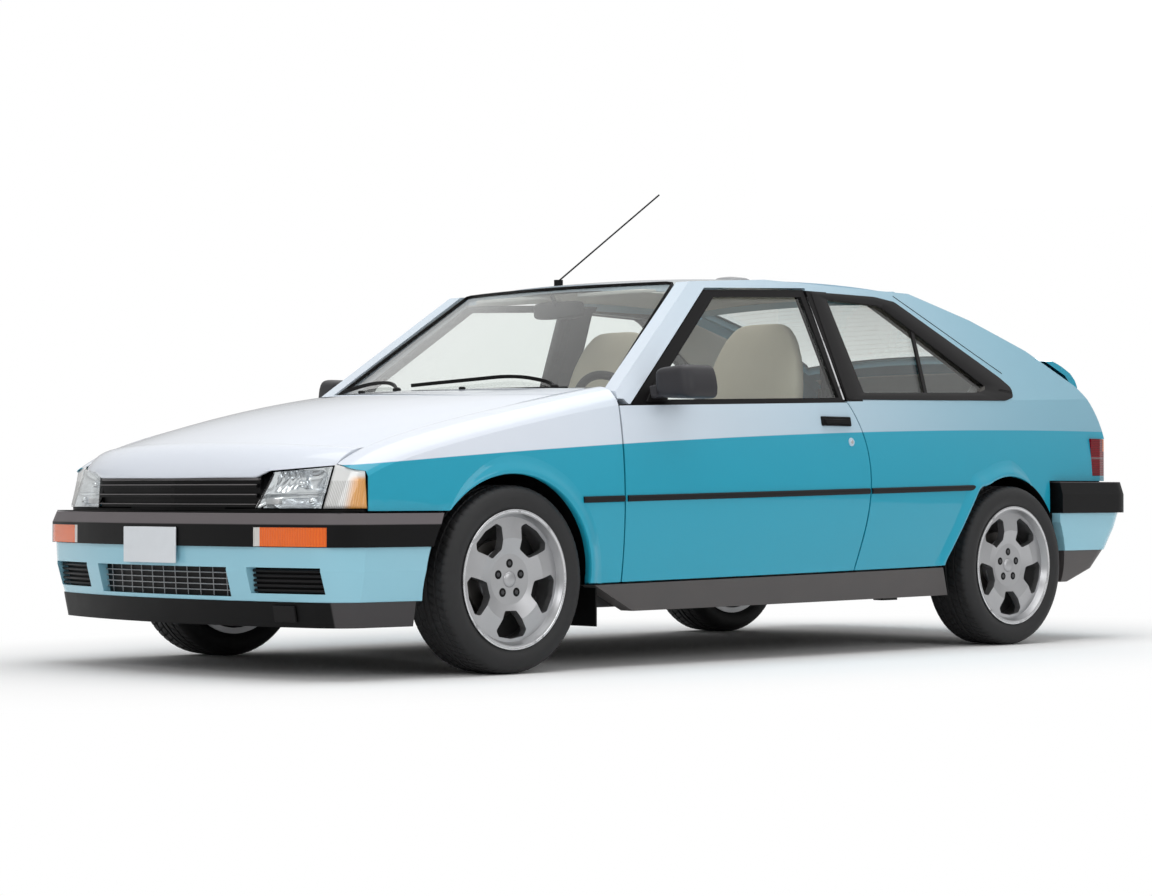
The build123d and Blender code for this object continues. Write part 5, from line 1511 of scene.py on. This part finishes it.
def tailgate_card(row, y):
    """The tailgate's inner face below its glass: the skin moved in by 33 mm along its own normal."""
    spot = hatch_skin(row, y, 0.0)
    places = (-1960.0, -1914.0, -1815.0, -1690.0, -1550.0)
    inward = np.interp(row, places, (0.97, 0.85, 0.55, 0.42, 0.36))
    down = np.interp(row, places, (-0.2, -0.5, -0.83, -0.91, -0.93))
    return spot[..., 0] + 33 * inward, y, spot[..., 2] + 33 * down


hatch_lining = sheet_of(-1672, -1945, -540, 540, tailgate_card, 24, 40)
piece("tailgate_lining", [hatch_lining], "tailgate", lining, thick=-3.0)
shelves = [sheet_of(-740, 740, 0, 1, front_shelf, 40, 4), sheet_of(-740, 740, 0, 1, rear_shelf, 40, 4)]
shelves += [wall(FRONT_WALL, 500.0, 524.0), wall(REAR_WALL, 600.0, 634.0)]
piece("bumper_shelves", shelves, "car_body", black_plastic, thick=3.0)
piece("bonnet_nose_lip", [nose_lip()], "bonnet", upper_paint, crease=60.0)
pillar = sheet_of(-770, -1480, 0, 1, pillar_lining, 40, 16)
piece("pillar_linings", both(pillar), "car_body", lining, thick=3.0)
vent = pebble((-590, 0, drop("roof_panel", -590, 0) + 2), (62, 55, 32), 0.5, 20)
piece("roof_vent", [vent], "car_body", mesh_finish, True)
print("closing pieces ready")

# %% [markdown]
# The studio is a pale floor with the car's shadow on it and nothing else. Far from the car, and in
# reflections, the floor and the sky turn plain white by the kind of ray that looks at them, so no extra
# light falls on the car. Four soft boxes light the body, and a weak lamp under the roof lights the seats.

# %% Studio floor, sky and lamps
def looking(wire):
    """1 for camera, mirror and see-through rays, 0 for the rays that carry soft light."""
    seen = [wire.node("LightPath", out=index) for index in (0, 3, 6)]
    return wire.sum("MINIMUM", seen[0] + seen[1] + seen[2], 1.0)


floor_mesh = bpy.data.meshes.new("studio_floor")
floor_mesh.from_pydata([(-60, -60, 0), (60, -60, 0), (60, 60, 0), (-60, 60, 0)], [], [(0, 1, 2, 3)])
floor = bpy.data.objects.new("studio_floor", floor_mesh)
bpy.context.scene.collection.objects.link(floor)
floor_finish = bpy.data.materials.new("studio_floor_white")
floor_finish.use_nodes = True
floor_tree = floor_finish.node_tree
floor_tree.nodes.remove(floor_tree.nodes["Principled BSDF"])
floor_wire = Wire(floor_tree)
floor_x, floor_y = floor_wire.axes()[:2]
reach = floor_wire.sum("SQRT", floor_x * floor_x * 0.16 + floor_y * floor_y * 0.45)
matt = floor_wire.node("BsdfDiffuse", None, {"Color": (0.93, 0.93, 0.93, 1)})
white = floor_wire.node("Emission", None, {"Color": (1, 1, 1, 1), "Strength": 1.0})
far = reach.step(0.85, 1.5) * looking(floor_wire)
floor_out = floor_wire.node("MixShader", None, {0: far, 1: matt, 2: white})
floor_tree.links.new(floor_out.socket, floor_tree.nodes["Material Output"].inputs["Surface"])
floor_mesh.materials.append(floor_finish)

sky = bpy.data.worlds.new("studio_sky")
bpy.context.scene.world = sky
sky.use_nodes = True
sky_wire = Wire(sky.node_tree)
heading = sky_wire.node("TexCoord", out=0)
rise = sky_wire.node("SeparateXYZ", None, {0: heading}, 2)
mirror_sky = rise.step(-0.05, 0.55) * 0.55 + 0.42
camera_ray = sky_wire.node("LightPath", out=0)
through_ray = sky_wire.node("LightPath", out=6)
mirror_ray = sky_wire.node("LightPath", out=3)
direct = sky_wire.sum("MINIMUM", camera_ray + through_ray, 1.0)
soft_level = 0.46
level = direct + (1 - direct) * (mirror_ray * mirror_sky + (1 - mirror_ray) * soft_level)
backdrop = sky.node_tree.nodes["Background"]
backdrop.inputs["Color"].default_value = (1, 1, 1, 1)
sky.node_tree.links.new(level.socket, backdrop.inputs["Strength"])

LAMPS = (
    ("overhead_box", (0.0, 0.6, 5.2), (0.0, 0.0, 0.4), (6.5, 3.6), 170.0),
    ("nose_box", (7.0, 2.4, 3.4), (1.2, 0.2, 0.5), (3.2, 2.4), 80.0),
    ("flank_box", (0.5, 7.5, 3.0), (0.0, 0.6, 0.6), (6.0, 2.4), 85.0),
    ("tail_box", (-6.5, -3.0, 3.4), (-1.2, 0.0, 0.6), (3.6, 2.4), 90.0),
    ("cabin_fill", (-0.3, 0.0, 1.27), (-0.3, 0.0, 0.4), (0.9, 0.9), 1.6),
)
for name, place, aim, size, watts in LAMPS:
    light = bpy.data.lights.new(name, "AREA")
    light.shape, light.size, light.size_y, light.energy = "RECTANGLE", *size, watts
    lamp = bpy.data.objects.new(name, light)
    lamp.location = place
    toward = np.subtract(aim, place)
    flat = math.hypot(toward[0], toward[1])
    lamp.rotation_euler = (math.atan2(flat, -toward[2]), 0, math.atan2(toward[1], toward[0]) - math.pi / 2)
    lamp.visible_camera = lamp.visible_glossy = name != "cabin_fill"
    bpy.context.scene.collection.objects.link(lamp)
print("studio with", len(LAMPS), "lamps")
